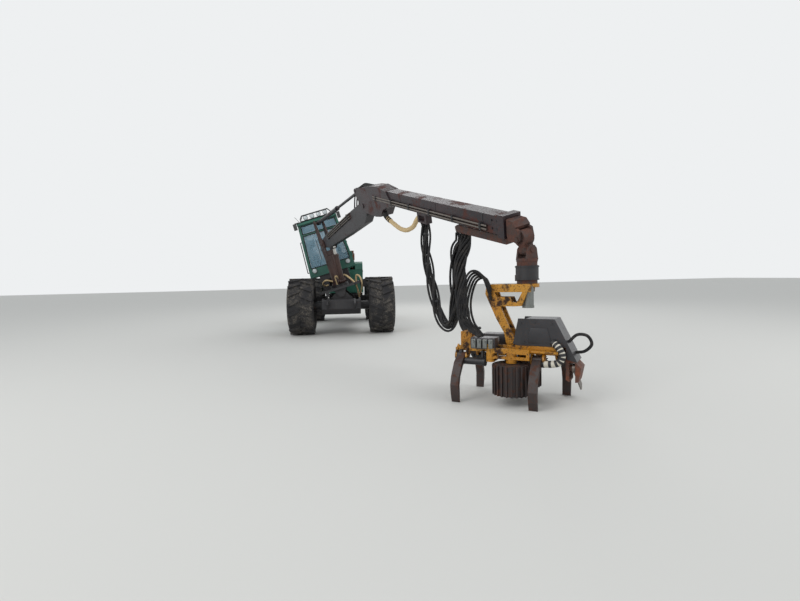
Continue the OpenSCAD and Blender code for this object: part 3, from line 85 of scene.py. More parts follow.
TURN = moved(LOW_PIN.x, LOW_PIN.y, 0) @ turned(ROTATOR_TURN, "Z")
HEAD = moved(LOW_PIN.x, LOW_PIN.y, 0) @ turned(HEAD_TURN, "Z") @ moved(0, HEAD_SIDE, 0)
print("elbow", [round(c, 3) for c in MAIN @ Vector((MAIN_LENGTH, 0, 0))])

# %% [markdown]
# The photograph was taken with a wide phone lens at eye height, a few metres from the head. The
# camera is solved from three known things: the tyre height, the distance between the wheels, and
# the horizon line, which sits a little above the middle of the picture.

# %% The camera
FOCAL_PIXELS, PHOTO_WIDTH, SENSOR = 470, 800, 36
CAMERA_AT, CAMERA_PITCH, CAMERA_ROLL = (12.286, 0.31, 1.4475), 2.95, 1.3


def new_object(name, data):
    made = bpy.data.objects.new(name, data)
    bpy.context.scene.collection.objects.link(made)
    return made


lens = bpy.data.cameras.new("photo_lens")
lens.sensor_width = SENSOR
lens.lens = FOCAL_PIXELS * SENSOR / PHOTO_WIDTH
lens.clip_end = 200
camera = new_object("photo_camera", lens)
bpy.context.scene.camera = camera
pitch, roll = radians(CAMERA_PITCH), radians(CAMERA_ROLL)
forward = Vector((-0.9952 * cos(pitch), 0.0976 * cos(pitch), -sin(pitch)))
side = forward.cross(Vector((0, 0, 1))).normalized()
above = side.cross(forward)
right = side * cos(roll) - above * sin(roll)
upward = above * cos(roll) + side * sin(roll)
camera.matrix_world = Matrix((
    (right.x, upward.x, -forward.x, CAMERA_AT[0] - MID.x),
    (right.y, upward.y, -forward.y, CAMERA_AT[1] - MID.y),
    (right.z, upward.z, -forward.z, CAMERA_AT[2]),
    (0, 0, 0, 1)))
print("camera at", [round(c, 3) for c in camera.location])

# %% [markdown]
# ## Finishes
# Colours are written as sRGB hex, the way a paint chart would give them, and one function turns
# them to the linear values that shaders work in. One more function adds a node with its settings
# and its links, so that a material reads from top to bottom like a recipe. Sizes of spots and
# grain are in metres.

# %% Colour and node helpers
def srgb(code):
    parts = [int(code[i:i + 2], 16) / 255 for i in (1, 3, 5)]
    return tuple(c / 12.92 if c <= 0.04045 else ((c + 0.055) / 1.055) ** 2.4 for c in parts) + (1,)


def add(tree, kind, inputs=None, **settings):
    node = tree.nodes.new(kind)
    for name, value in settings.items():
        setattr(node, name, value)
    for key, value in (inputs or {}).items():
        if isinstance(value, bpy.types.NodeSocket):
            tree.links.new(value, node.inputs[key])
        else:
            node.inputs[key].default_value = value
    return node


def blank_material(name):
    material = bpy.data.materials.new(name)
    material.use_nodes = True
    material.node_tree.nodes.clear()
    return material, material.node_tree


def object_coords(tree):
    return add(tree, "ShaderNodeTexCoord").outputs["Object"]


def blend_colour(tree, factor, a, b):
    return add(tree, "ShaderNodeMix", {0: factor, 6: a, 7: b}, data_type="RGBA").outputs[2]


def maths(tree, operation, *values):
    return add(tree, "ShaderNodeMath", dict(enumerate(values)), operation=operation).outputs[0]


def noise(tree, coords, size, detail):
    settings = {"Vector": coords, "Scale": 1 / size, "Detail": detail}
    return add(tree, "ShaderNodeTexNoise", settings).outputs["Fac"]


def map_to(tree, value, low, high):
    settings = {"Value": value, "To Min": low, "To Max": high}
    return add(tree, "ShaderNodeMapRange", settings).outputs["Result"]


def bump(tree, height, strength, distance=0.002):
    settings = {"Height": height, "Strength": strength, "Distance": distance}
    return add(tree, "ShaderNodeBump", settings).outputs[0]


def principled(tree, **inputs):
    """The finish's one shader and its output; an input's name has _ where Blender's has a space."""
    named = {name.replace("_", " "): value for name, value in inputs.items()}
    shader = add(tree, "ShaderNodeBsdfPrincipled", named)
    add(tree, "ShaderNodeOutputMaterial", {"Surface": shader.outputs[0]})


def patch_mask(tree, coords, size, low, high, detail=5):
    spots = add(tree, "ShaderNodeTexNoise",
                {"Vector": coords, "Scale": 1 / size, "Detail": detail, "Roughness": 0.62})
    limits = {"Value": spots.outputs["Fac"], "From Min": low, "From Max": high}
    return add(tree, "ShaderNodeMapRange", limits,
               interpolation_type="SMOOTHSTEP").outputs["Result"]


# %% [markdown]
# Machine paint is two-pack enamel sprayed over primer. On a working harvester it chalks, chips to
# bare brown rust where branches strike it, and gathers pale dust. Three noise masks of three real
# sizes give that: broad fading of about half a metre, rust patches of a hand's width, and chips of
# a few millimetres, drawn at 12 mm so that they show in the render.

# %% Worn paint
FADING_SIZE, CHIP_SIZE, RUST_GRAIN, DUST_FILM, PAINT_GRAIN = 0.5, 0.012, 0.03, 0.09, 0.006


def worn_paint(name, paint, faded, rust, dust, rusted, dusty, gloss, patch=0.16):
    material, tree = blank_material(name)
    coords = object_coords(tree)
    fading = patch_mask(tree, coords, FADING_SIZE, 0.35, 0.7)
    patches = patch_mask(tree, coords, patch, 0.72 - 0.3 * rusted, 0.86 - 0.3 * rusted, 8)
    chips = patch_mask(tree, coords, CHIP_SIZE, 0.66 - 0.12 * rusted, 0.72 - 0.12 * rusted, 3)
    streaks = add(tree, "ShaderNodeMapping", {"Vector": coords, "Scale": (1, 1, 0.18)})
    film = patch_mask(tree, streaks.outputs["Vector"], DUST_FILM,
                      0.75 - 0.4 * dusty, 1.0 - 0.3 * dusty, 6)
    either = maths(tree, "MAXIMUM", patches, chips)
    dark_rust = tuple(0.35 * c for c in srgb(rust)[:3]) + (1,)
    rust_colour = blend_colour(tree, noise(tree, coords, RUST_GRAIN, 6), srgb(rust), dark_rust)
    colour = blend_colour(tree, fading, srgb(paint), srgb(faded))
    colour = blend_colour(tree, either, colour, rust_colour)
    film = maths(tree, "MULTIPLY", film, 0.75 * dusty)
    colour = blend_colour(tree, film, colour, srgb(dust))
    roughness = map_to(tree, maths(tree, "MAXIMUM", either, film), gloss, 0.9)
    height = maths(tree, "MULTIPLY_ADD", noise(tree, coords, PAINT_GRAIN, 4), either, 0.4)
    principled(tree, Base_Color=colour, Roughness=roughness, Normal=bump(tree, height, 0.35))
    return material


# Each line: name, paint, faded paint, rust, dust, then how rusted, how dusty and how rough it is
green_enamel = worn_paint("green_cab_enamel", "#1A5548", "#2A6656", "#5A4030", "#8C8A78",
                          0.12, 0.3, 0.3)
hood_enamel = worn_paint("green_hood_enamel", "#1C5244", "#2C6453", "#54402F", "#8C8876",
                         0.25, 0.45, 0.4)
black_enamel = worn_paint("black_frame_enamel", "#1E1E22", "#2B2A2C", "#5A3A2C", "#6E675C",
                          0.35, 0.4, 0.45)
boom_enamel = worn_paint("black_boom_enamel", "#17161B", "#242127", "#55302A", "#5E564F",
                         0.45, 0.2, 0.4, 0.22)
outer_enamel = worn_paint("rusting_boom_enamel", "#1D1A20", "#32262A", "#5C332B", "#625850",
                          0.72, 0.25, 0.42, 0.3)
tip_rust = worn_paint("rusted_tip_steel", "#423029", "#33272A", "#69453A", "#65544A",
                      0.9, 0.3, 0.6, 0.1)
yellow_enamel = worn_paint("yellow_head_enamel", "#B87A14", "#C18A28", "#3E281E", "#5E4C36",
                           0.78, 0.5, 0.4, 0.13)
rim_enamel = worn_paint("yellow_rim_enamel", "#B98A24", "#C79A3C", "#6B452C", "#8A7656",
                        0.4, 0.6, 0.5)
pillar_paint = worn_paint("brown_pillar_primer", "#3A2824", "#4A332C", "#33201A", "#6A5A4E",
                          0.6, 0.3, 0.5, 0.12)
knife_steel = worn_paint("rust_dark_knife_steel", "#2A2322", "#382B28", "#5E3C2E", "#6E6054",
                         0.7, 0.3, 0.5, 0.08)
hood_black = worn_paint("black_head_hood_enamel", "#26262A", "#38363A", "#5E4030", "#77706A",
                        0.4, 0.35, 0.35, 0.1)
saw_rust = worn_paint("rusty_saw_box_steel", "#5A3A2E", "#4A3028", "#8A5038", "#84705E",
                      0.85, 0.35, 0.6, 0.1)
engine_iron = worn_paint("grey_engine_iron", "#55544F", "#66645E", "#6A4630", "#5A5348",
                         0.3, 0.5, 0.55)
print("paints", len(bpy.data.materials))

# %% [markdown]
# Tyres are carbon-black rubber. Yard dust clings to the tread and to the raised ribs of the wall,
# and the rubber between stays dark, so two dust masks of different size are laid over each other.

# %% Rubber, chrome, glass, plastic and cloth
RUBBER_GRAIN = 0.008


def dusty_rubber(name, base, dust, amount, size):
    material, tree = blank_material(name)
    coords = object_coords(tree)
    broad = patch_mask(tree, coords, size, 0.42, 0.68, 6)
    fine = patch_mask(tree, coords, size / 8, 0.35, 0.7, 4)
    film = maths(tree, "MULTIPLY", maths(tree, "MULTIPLY", broad, fine), amount)
    relief = bump(tree, noise(tree, coords, RUBBER_GRAIN, 5), 0.4)
    colour = blend_colour(tree, film, srgb(base), srgb(dust))
    principled(tree, Base_Color=colour, Roughness=0.82, Normal=relief)
    return material


tyre_rubber = dusty_rubber("dusty_tyre_rubber", "#252426", "#7E766B", 0.7, 0.22)
hose_rubber = dusty_rubber("black_hose_rubber", "#17171A", "#5C554C", 0.45, 0.12)


def plain_finish(name, base, second, roughness, metallic, size, strength, coat=0.0):
    material, tree = blank_material(name)
    mottle = noise(tree, object_coords(tree), size, 5)
    rough = map_to(tree, mottle, roughness * 0.8, min(1, roughness * 1.25))
    principled(tree, Base_Color=blend_colour(tree, mottle, srgb(base), srgb(second)),
               Roughness=rough, Metallic=metallic, Coat_Weight=coat,
               Normal=bump(tree, mottle, strength, 0.001))
    return material


# Each line: name, two colours, roughness, how metallic, size of the mottle, its relief, lacquer
chrome = plain_finish("hard_chromed_rod", "#D8D8D6", "#B4B0AA", 0.16, 1.0, 0.05, 0.03)
bare_steel = plain_finish("worn_bare_steel", "#8C8882", "#5E5048", 0.42, 0.9, 0.03, 0.2)
moulded_plastic = plain_finish("black_moulded_plastic", "#1B1B1D", "#26262A", 0.5, 0.0, 0.004, 0.3)
lamp_glass = plain_finish("frosted_lamp_lens", "#DDE3E4", "#B9C4C8", 0.12, 0.0, 0.01, 0.25, 0.6)
amber_plastic = plain_finish("amber_lamp_plastic", "#D0761C", "#B25F12", 0.3, 0.0, 0.01, 0.1, 0.5)
red_plastic = plain_finish("red_lamp_plastic", "#8E1A14", "#6E120E", 0.3, 0.0, 0.01, 0.1, 0.5)
cream_cloth = plain_finish("cream_burst_sleeve_cloth", "#D9C49A", "#B89A6C", 0.9, 0.0, 0.012, 0.6)
white_cloth = plain_finish("white_spiral_sleeve", "#E2DED2", "#C4BCAA", 0.8, 0.0, 0.02, 0.5)
galvanised = plain_finish("dull_galvanised_steel", "#8F9290", "#6E706C", 0.5, 0.8, 0.015, 0.2)


def cab_window(name):
    material, tree = blank_material(name)
    haze = patch_mask(tree, object_coords(tree), 0.6, 0.3, 0.9, 2)
    principled(tree, Base_Color=blend_colour(tree, haze, srgb("#86AEC2"), srgb("#A4C2CE")),
               Roughness=0.06, Alpha=map_to(tree, haze, 0.42, 0.62))
    return material


tinted_glass = cab_window("blue_tinted_polycarbonate")


def seat_cloth_finish(name):
    material, tree = blank_material(name)
    coords = object_coords(tree)
    # Threads are about 1 mm apart on seat cloth; they are drawn 12 mm apart to show at all
    threads = [add(tree, "ShaderNodeTexWave", {"Vector": coords, "Scale": 26, "Distortion": 0.6},
                   bands_direction=axis).outputs["Fac"] for axis in ("X", "Z")]
    weave = maths(tree, "MULTIPLY", *threads)
    principled(tree, Base_Color=blend_colour(tree, weave, srgb("#22242A"), srgb("#474A52")),
               Roughness=0.9, Sheen_Weight=0.3, Normal=bump(tree, weave, 0.5))
    return material


seat_cloth = seat_cloth_finish("woven_seat_cloth")

# %% [markdown]
# The CAD nodes whose shapes are right stay, and only change their finish here.

# %% Dress the CAD nodes
coats = {
    green_enamel: "cab_shell cab_roof cab_door",
    hood_enamel: "engine_hood hood_lid",
    black_enamel: "rear_frame rear_axle front_frame front_axle front_fenders level_barrel "
                  "deck cab_lights",
    boom_enamel: "main_boom jib_barrel jib_rod",
    outer_enamel: "outer_boom",
    tip_rust: "extension tip_link rotator",
    pillar_paint: "pillar lift_barrel",
    yellow_enamel: "tilt_frame head_frame feed_arm_near feed_arm_far",
    rim_enamel: "rim_fl rim_fr rim_rl rim_rr",
    knife_steel: "knife_front_near knife_front_far knife_rear_near knife_rear_far "
                 "roller_near roller_far",
    hood_black: "head_hood",
    saw_rust: "saw_box exhaust",
    engine_iron: "engine_block",
    chrome: "level_rod lift_rod",
    bare_steel: "saw_bar",
    tinted_glass: "cab_glass door_glass",
    tyre_rubber: "tyre_fl tyre_fr tyre_rl tyre_rr",
    hose_rubber: "hose_bundle_boom hose_bundle_arm",
    cream_cloth: "boom_sleeve",
    seat_cloth: "seat",
    moulded_plastic: "controls",
}
for coat, names in coats.items():
    for node_name in names.split():
        if node_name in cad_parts:
            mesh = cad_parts[node_name].data
            mesh.materials.clear()
            mesh.materials.append(coat)
print("undressed", [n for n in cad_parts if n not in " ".join(coats.values()).split()])

# %% [markdown]
# ## Tools for shaping
# Every piece starts in a bmesh. A few small helpers add the shapes that come again and again: a
# block with rounded edges, a round bar between two points, a flat plate cut to an outline, and a
# hexagon bolt head. Each is made with an operator, so its faces are closed and point outwards.

# %% Shape helpers
SHARP_ABOVE = 40


def bar(bm, a, b, radius, sides=16, radius_end=None):
    a, b = Vector(a), Vector(b)
    turn = (b - a).to_track_quat("Z", "Y").to_matrix().to_4x4()
    bmesh.ops.create_cone(bm, cap_ends=True, segments=sides, radius1=radius,
                          radius2=radius if radius_end is None else radius_end,
                          depth=(b - a).length, matrix=Matrix.Translation((a + b) / 2) @ turn)


def round_edges(bm, edges, by, segments=2):
    bmesh.ops.bevel(bm, geom=list(edges), offset=by, affect="EDGES", segments=segments,
                    profile=0.5, material=-1)


def block(bm, low, high, round_by=0.0, segments=2):
    low, high = Vector(low), Vector(high)
    shape = Matrix.Translation((low + high) / 2) @ Matrix.Diagonal((*(high - low), 1))
    made = bmesh.ops.create_cube(bm, size=1, matrix=shape)
    if round_by:
        round_edges(bm, {e for v in made["verts"] for e in v.link_edges}, round_by, segments)


def plate(bm, outline, y0, y1, round_by=0.0):
    verts = [bm.verts.new((x, y0, z)) for x, z in outline]
    face = bm.faces.new(verts)
    grown = bmesh.ops.extrude_face_region(bm, geom=[face])
    moving = [g for g in grown["geom"] if isinstance(g, bmesh.types.BMVert)]
    bmesh.ops.translate(bm, verts=moving, vec=(0, y1 - y0, 0))
    top = [g for g in grown["geom"] if isinstance(g, bmesh.types.BMFace)]
    everything = {f for v in verts for f in v.link_faces} | set(top)
    bmesh.ops.recalc_face_normals(bm, faces=list(everything))
    if round_by:
        round_edges(bm, {e for f in [face] + top for e in f.edges}, round_by)


def bolt(bm, at, way, size):
    """A hexagon head on its washer; size is the radius over the corners."""
    way = Vector(way).normalized()
    bar(bm, Vector(at) - way * 0.001, Vector(at) + way * size * 0.25, size * 1.15, 16)
    bar(bm, Vector(at) + way * size * 0.2, Vector(at) + way * size * 0.85, size, 6)


def bolt_circle(bm, centre, way, radius, count, size):
    way = Vector(way).normalized()
    u = way.orthogonal().normalized()
    v = way.cross(u)
    for k in range(count):
        a = 2 * pi * k / count
        bolt(bm, Vector(centre) + radius * (cos(a) * u + sin(a) * v), way, size)


def piece(name, bm, place, body, material):
    """The bmesh as a named piece: turned into its place, finished, and riding on its body."""
    mesh = bpy.data.meshes.new(name)
    bm.to_mesh(mesh)
    bm.free()
    mesh.transform(place)
    mesh.materials.append(material)
    mesh.shade_smooth()
    mesh.set_sharp_from_angle(angle=radians(SHARP_ABOVE))
    made = new_object(name, mesh)
    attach(made, body)
    return made


# %% [markdown]
# ## Hoses
# The loops under the outer boom carry oil to the felling head. They are two-wire braided rubber
# hoses about 32 mm thick: five inside each bundle, and four or nine more laid loosely round them.
# They lie with a slow twist and are held by bands, so that they bend together. Each hose is a curve
# that follows the bundle's middle line at its own place in the twist.

# %% Hose routes, the same points as the CAD solids have
boom_route = [
    (5.1062, 1.4271, 2.2467), (5.0724, 1.4407, 2.1414), (5.18, 1.42, 1.8), (5.33, 1.48, 1.3),
    (5.5, 1.56, 0.86), (5.68, 1.64, 0.72), (5.83, 1.69, 0.86), (5.89, 1.71, 1.3),
    (5.8291, 1.7424, 1.7698), (5.8234, 1.8146, 1.911), (5.8691, 1.7953, 2.05)]
arm_route = [
    (5.9742, 1.8408, 2.012), (5.9369, 1.8566, 1.8988), (6.01, 1.76, 1.6), (6.08, 1.75, 1.2),
    (6.23, 1.75, 0.86), (6.43, 1.78, 0.75), (6.51, 1.819, 0.74), (6.6328, 1.7335, 0.712)]
sleeve_route = [
    (3.8418, 0.9028, 2.5781), (3.8857, 0.9366, 2.4956), (4.0991, 1.0413, 2.357),
    (4.2986, 1.1351, 2.2517), (4.51, 1.2171, 2.2089), (4.7461, 1.2899, 2.2386),
    (4.9008, 1.3259, 2.3214), (4.994, 1.3567, 2.3706)]


def smooth_route(points, steps):
    """A smooth line through points in the CAD source's axes, in the frame's axes."""
    points = [Vector(p) - MID for p in points]
    fine = []
    for i in range(len(points) - 1):
        a, d = points[max(i - 1, 0)], points[min(i + 2, len(points) - 1)]
        b, c = points[i], points[i + 1]
        for k in range(steps):
            t = k / steps
            fine.append(0.5 * (2 * b + (c - a) * t + (2 * a - 5 * b + 4 * c - d) * t ** 2
                               + (3 * b - a - 3 * c + d) * t ** 3))
    return fine + [points[-1]]


def strand(path, offset, phase, twist_every):
    """One hose of a bundle, wound round the middle line once in each twist_every metres."""
    across = (path[1] - path[0]).orthogonal().normalized()
    out, run = [], 0.0
    for i, p in enumerate(path):
        along = (path[min(i + 1, len(path) - 1)] - path[max(i - 1, 0)]).normalized()
        across = (across - along * across.dot(along)).normalized()
        if i:
            run += (p - path[i - 1]).length
        a = phase + 2 * pi * run / twist_every
        out.append(p + offset * (cos(a) * across + sin(a) * along.cross(across)))
    return out


def hose_curve(name, path, diameter, material):
    data = bpy.data.curves.new(name, "CURVE")
    data.dimensions = "3D"
    data.bevel_depth = diameter / 2
    data.bevel_resolution = 3
    data.use_fill_caps = True
    line = data.splines.new("POLY")
    line.points.add(len(path) - 1)
    for point, place in zip(line.points, path):
        point.co = (*place, 1)
    data.materials.append(material)
    return new_object(name, data)


def final_mesh(one):
    evaluated = one.evaluated_get(bpy.context.evaluated_depsgraph_get())
    return bpy.data.meshes.new_from_object(evaluated)


def flexed(one, body, other, path):
    """The hose curve as a plain mesh, fixed where it lies; the two bodies it is given are not used."""
    mesh, name = final_mesh(one), one.name
    bpy.data.objects.remove(one)
    mesh.shade_smooth()
    made = new_object(name, mesh)
    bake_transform(made)
    return made


def path_length(path):
    return sum((b - a).length for a, b in zip(path, path[1:]))


def band(bm, path, i, half, radius, sides=24):
    """A short ring round a route at its point i, from half before it to half after it."""
    along = (path[i + 1] - path[i - 1]).normalized()
    bar(bm, path[i] - along * half, path[i] + along * half, radius, sides)


# %% Hose bundles and their bands
BUNDLE_HOSE, INNER_HOSES = 0.032, 5
INNER_RING, OUTER_RING, RING_STEP = 0.03, 0.056, 0.008
BAND_HALF, BAND_RADIUS = 0.014, 0.0485
for bundle, route, body, twist, outer in (
        ("hose_bundle_boom", boom_route, "outer_boom", 1.7, 4),
        ("hose_bundle_arm", arm_route, "extension", 1.3, 9)):
    middle = smooth_route(route, 8)
    bands = bmesh.new()
    for i in range(10, len(middle) - 6, 9):
        band(bands, middle, i, BAND_HALF, BAND_RADIUS, 20)
    band_piece = piece(bundle + "_bands", bands, Matrix(), body, moulded_plastic)
    for k in range(INNER_HOSES + outer):
        inside = k < INNER_HOSES
        offset = INNER_RING if inside else OUTER_RING + RING_STEP * (k % 3)
        path = strand(middle, offset, 2 * pi * k / (INNER_HOSES if inside else outer), twist)
        one = hose_curve(f"{bundle}_{k + 1}", path, BUNDLE_HOSE, hose_rubber)
        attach(one, body)
        if k == 0:
            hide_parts(bundle)
    print(bundle, "hose length", round(path_length(path), 2))

# %% [markdown]
# The extension's own supply hoses run in a cream burst sleeve from the elbow to the hose bracket.
# Woven sleeve ruffles a little along its length, so its radius swells and narrows as it goes.

# %% The cream sleeve
SLEEVE = 0.076
middle = smooth_route(sleeve_route, 10)
sleeve = hose_curve("boom_sleeve_cloth", middle, SLEEVE, cream_cloth)
for i, point in enumerate(sleeve.data.splines[0].points):
    point.radius = 1.0 + 0.07 * sin(i * 1.9) * sin(i * 0.7)
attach(sleeve, "outer_boom")
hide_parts("boom_sleeve")
print("sleeve length", round(path_length(middle), 2))

# %% [markdown]
# ## Wheels
# Each rim is held to its planetary hub by a ring of wheel nuts, and the hub's cover by a ring of
# cap screws round a filler plug. Thin ribs run round the tyre's wall, and the rim has a rolled
# flange where the tyre's bead sits.

# %% Wheel nuts, hub screws, valves, tyre ribs and rim flanges
def ring(bm, radius, thick, z, around=72, sides=10):
    loops = []
    for i in range(around):
        a = 2 * pi * i / around
        loops.append([])
        for j in range(sides):
            b = 2 * pi * j / sides
            reach = radius + thick * cos(b)
            loops[i].append(bm.verts.new((reach * cos(a), reach * sin(a), z + thick * sin(b))))
    for i in range(around):
        loop, following = loops[i], loops[(i + 1) % around]
        for j in range(sides):
            after = (j + 1) % sides
            bm.faces.new((loop[j], following[j], following[after], loop[after]))


WHEELBASE, HALF_TRACK, AXLE_HEIGHT = 3.9, 1.015, 0.727
HUB_R, NUT_CIRCLE, OUTWARD = 0.215, 0.2355, (0, 0, 1)
RIM_FACE, HUB_STEP, HUB_FACE = 0.09, 0.18, 0.229
TYRE_RIBS = ((0.40, 0.008, 0.262), (0.455, 0.006, 0.295), (0.53, 0.007, 0.323), (0.59, 0.005, 0.317))
for corner, along, side in (
        ("fl", 0, 1), ("fr", 0, -1), ("rl", -WHEELBASE, 1), ("rr", -WHEELBASE, -1)):
    at_wheel = CARRIER @ moved(along, side * HALF_TRACK, AXLE_HEIGHT) @ turned(-90 * side, "X")
    nuts = bmesh.new()
    bolt_circle(nuts, (0, 0, RIM_FACE), OUTWARD, NUT_CIRCLE, 12, 0.016)
    bolt_circle(nuts, (0, 0, HUB_STEP), OUTWARD, HUB_R - 0.035, 16, 0.011)
    bolt_circle(nuts, (0, 0, HUB_FACE), OUTWARD, HUB_R - 0.1, 8, 0.009)
    bolt(nuts, (0, 0, HUB_FACE), OUTWARD, 0.02)
    piece("wheel_nuts_" + corner, nuts, at_wheel, "wheel_" + corner, bare_steel)
    stem = bmesh.new()
    bar(stem, (0.285, 0, 0.07), (0.292, 0, 0.125), 0.007)
    bar(stem, (0.292, 0, 0.125), (0.294, 0, 0.14), 0.009)
    piece("valve_stem_" + corner, stem, at_wheel, "wheel_" + corner, moulded_plastic)
    ribs = bmesh.new()
    for face in (-1, 1):
        for radius, thick, out in TYRE_RIBS:
            ring(ribs, radius, thick, face * out)
    piece("tyre_ribs_" + corner, ribs, at_wheel, "wheel_" + corner, tyre_rubber)
    bead = bmesh.new()
    for face in (-1, 1):
        ring(bead, 0.343, 0.009, face * 0.195)
    piece("rim_flange_" + corner, bead, at_wheel, "wheel_" + corner, rim_enamel)
print("wheels trimmed")

# %% [markdown]
# ## Cab
# The panes sit in black rubber gaskets. Lamps have a frosted lens in a rolled steel bezel. The
# wiper, handles and the small V of the radio antenna are bought-in parts. Places are in the cab's
# own frame: x = 0 is its front face, z = 0 its floor, and its sides lean in towards the roof.

# %% Gaskets, lenses, wiper, handles and antenna
CAB_HALF, CAB_TALL, CAB_LEAN_IN = 0.65, 1.56, 0.105
PANE_INSET, LAMP_PITCH, LAMP_HEIGHT = 0.075, 0.185, 1.642


def half_width(z):
    return CAB_HALF - CAB_LEAN_IN * z / CAB_TALL


gaskets = bmesh.new()
for low, high in ((0.25, 1.165), (1.215, 1.436)):
    corners = [(0.0, s * (half_width(z) - PANE_INSET), z)
               for s, z in ((-1, low), (1, low), (1, high), (-1, high))]
    for a, b in zip(corners, corners[1:] + corners[:1]):
        bar(gaskets, a, b, 0.011, 12)
piece("window_gaskets", gaskets, CAB, "deck", hose_rubber)

bezels, lenses = bmesh.new(), bmesh.new()
roof_lamps = [((0.01, LAMP_PITCH * k, LAMP_HEIGHT), 0.0625) for k in (-1.5, -0.5, 0.5, 1.5)]
head_lamps = [((0.0453, s * 0.48, 0.17), 0.065) for s in (-1, 1)]
for (x, y, z), r in roof_lamps + head_lamps:
    face = moved(x, y, z) @ turned(90, "Y")
    rim_mesh = bmesh.new()
    ring(rim_mesh, r * 0.93, 0.006, 0.001, 40, 8)
    rim_mesh.transform(face)
    carry = bpy.data.meshes.new("carry")
    rim_mesh.to_mesh(carry)
    rim_mesh.free()
    bezels.from_mesh(carry)
    bar(lenses, (x - 0.004, y, z), (x + 0.003, y, z), r * 0.86, 32)
    bar(lenses, (x + 0.0025, y, z), (x + 0.009, y, z), r * 0.8, 32, r * 0.5)
for s in (-1, 1):
    y = s * (half_width(CAB_TALL) + 0.07)
    for k in range(5):
        rise = 0.028 * k
        block(bezels, (0.121, y - 0.036, 1.395 + rise), (0.131, y + 0.036, 1.4 + rise))
piece("lamp_bezels", bezels, CAB, "deck", galvanised)
piece("lamp_lenses", lenses, CAB, "deck", lamp_glass)

trim = bmesh.new()
bar(trim, (0.012, 0.16, 0.262), (0.016, -0.1, 0.62), 0.009, 10)
bar(trim, (0.016, -0.1, 0.62), (0.018, -0.16, 0.7), 0.006, 10)
block(trim, (0.006, -0.2, 0.42), (0.02, -0.185, 0.98), 0.003)
bar(trim, (0.002, 0.16, 0.262), (0.03, 0.16, 0.262), 0.022, 16)
for s in (-1, 1):
    bar(trim, (-0.06, -0.44 + 0.03 * s, 1.56), (-0.06, -0.46 + 0.1 * s, 1.74), 0.005, 8)
block(trim, (-0.1, -0.5, 1.548), (-0.02, -0.38, 1.566), 0.004)
RAIL_X, RAIL_LOW, RAIL_HIGH, RAIL_OUT = -0.07, 0.16, 1.02, 0.045
low_side, high_side = -half_width(RAIL_LOW), -half_width(RAIL_HIGH)
bar(trim, (RAIL_X, low_side - RAIL_OUT, RAIL_LOW), (RAIL_X, high_side - RAIL_OUT, RAIL_HIGH), 0.013, 12)
for y, z in ((low_side, RAIL_LOW), (high_side, RAIL_HIGH)):
    bar(trim, (RAIL_X, y + 0.02, z), (RAIL_X, y - RAIL_OUT, z), 0.011, 10)
piece("cab_trim", trim, CAB, "deck", moulded_plastic)

handle = bmesh.new()
lean = moved(0, half_width(CAB_TALL / 2), CAB_TALL / 2) @ turned(3.85, "X")
block(handle, (-1.13, -0.004, -0.05), (-1.03, 0.012, 0.05), 0.006)
block(handle, (-1.12, 0.01, -0.014), (-1.0, 0.034, 0.014), 0.008, 3)
block(handle, (-0.5, -0.004, -0.012), (-0.2, 0.006, 0.0), 0.003)
piece("door_handle", handle, CAB @ lean, "door", moulded_plastic)
print("cab dressed")

# %% [markdown]
# ## Crane trim
# Steel pipes carry the oil along the booms, held by saddle clamps. Raised strips on the outer boom
# mark the seams of its plates, and a ring of screws stands on each side of its front end.

# %% Boom pipes, clamps and seams
CLAMP_STEP, CLAMP_HALF, PIPE_RADIUS = 0.62, 0.022, 0.013


def pipe_run(name, place, body, y, heights, x0, x1):
    pipes, clamps = bmesh.new(), bmesh.new()
    for z in heights:
        bar(pipes, (x0, y, z), (x1, y, z), PIPE_RADIUS, 14)
    x, away = x0 + 0.12, 1 if y > 0 else -1
    while x < x1 - 0.05:
        low, high = min(heights) - 0.025, max(heights) + 0.025
        block(clamps, (x - CLAMP_HALF, y - 0.017, low), (x + CLAMP_HALF, y + 0.017, high), 0.005)
        bolt(clamps, (x, y + away * 0.016, sum(heights) / len(heights)), (0, away, 0), 0.009)
        x += CLAMP_STEP
    piece(name, pipes, place, body, bare_steel)
    piece(name + "_clamps", clamps, place, body, black_enamel)


pipe_run("main_boom_pipes", MAIN, "main_boom", -0.109, (0.02, 0.065, 0.11), 0.55, 2.7)
for name, y in (("outer_boom_pipes", -0.123), ("outer_boom_pipes_far", 0.123)):
    pipe_run(name, TUBE, "outer_boom", y, (-0.075, -0.032), 0.55, 3.9)

seams = bmesh.new()
for s in (-1, 1):
    bolt_circle(seams, (4.03, s * 0.106, 0.0), (0, s, 0), 0.07, 4, 0.012)
    y = s * 0.1055
    for x in (0.5, 1.6, 2.7, 3.8):
        block(seams, (x - 0.008, y - 0.003, -0.1), (x + 0.008, y + 0.003, 0.1), 0.002)
piece("outer_boom_seams", seams, TUBE, "outer_boom", boom_enamel)

# %% [markdown]
# ## Felling head trim
# The head's valves sit in two steel boxes on its spine, with the knife cylinders beside them. A
# toothed wheel that measures the stem's length shows from the front. Places are in the head's own
# frame: +X runs along its spine towards the saw, and z counts from the floor.

# %% Head cylinders, valve boxes, rails, hood trim and measuring wheel
VALVE_PITCH, SPINE_SIDE, CYLINDER_SIDE, CYLINDER_Z = 0.066, 0.21, 0.215, 0.45
CYLINDER_ENDS, EYE_SIDE = (-0.70, -0.42), 0.19
cover = bmesh.new()
block(cover, (-0.56, -0.29, 0.605), (-0.27, -0.115, 0.735), 0.012)
block(cover, (-0.56, 0.115, 0.605), (-0.27, 0.29, 0.735), 0.012)
for x in (-0.53, -0.3):
    for z in (0.63, 0.71):
        for s in (-1, 1):
            bolt(cover, (x, s * 0.289, z), (0, s, 0), 0.012)
piece("valve_box", cover, HEAD, "head", hood_black)

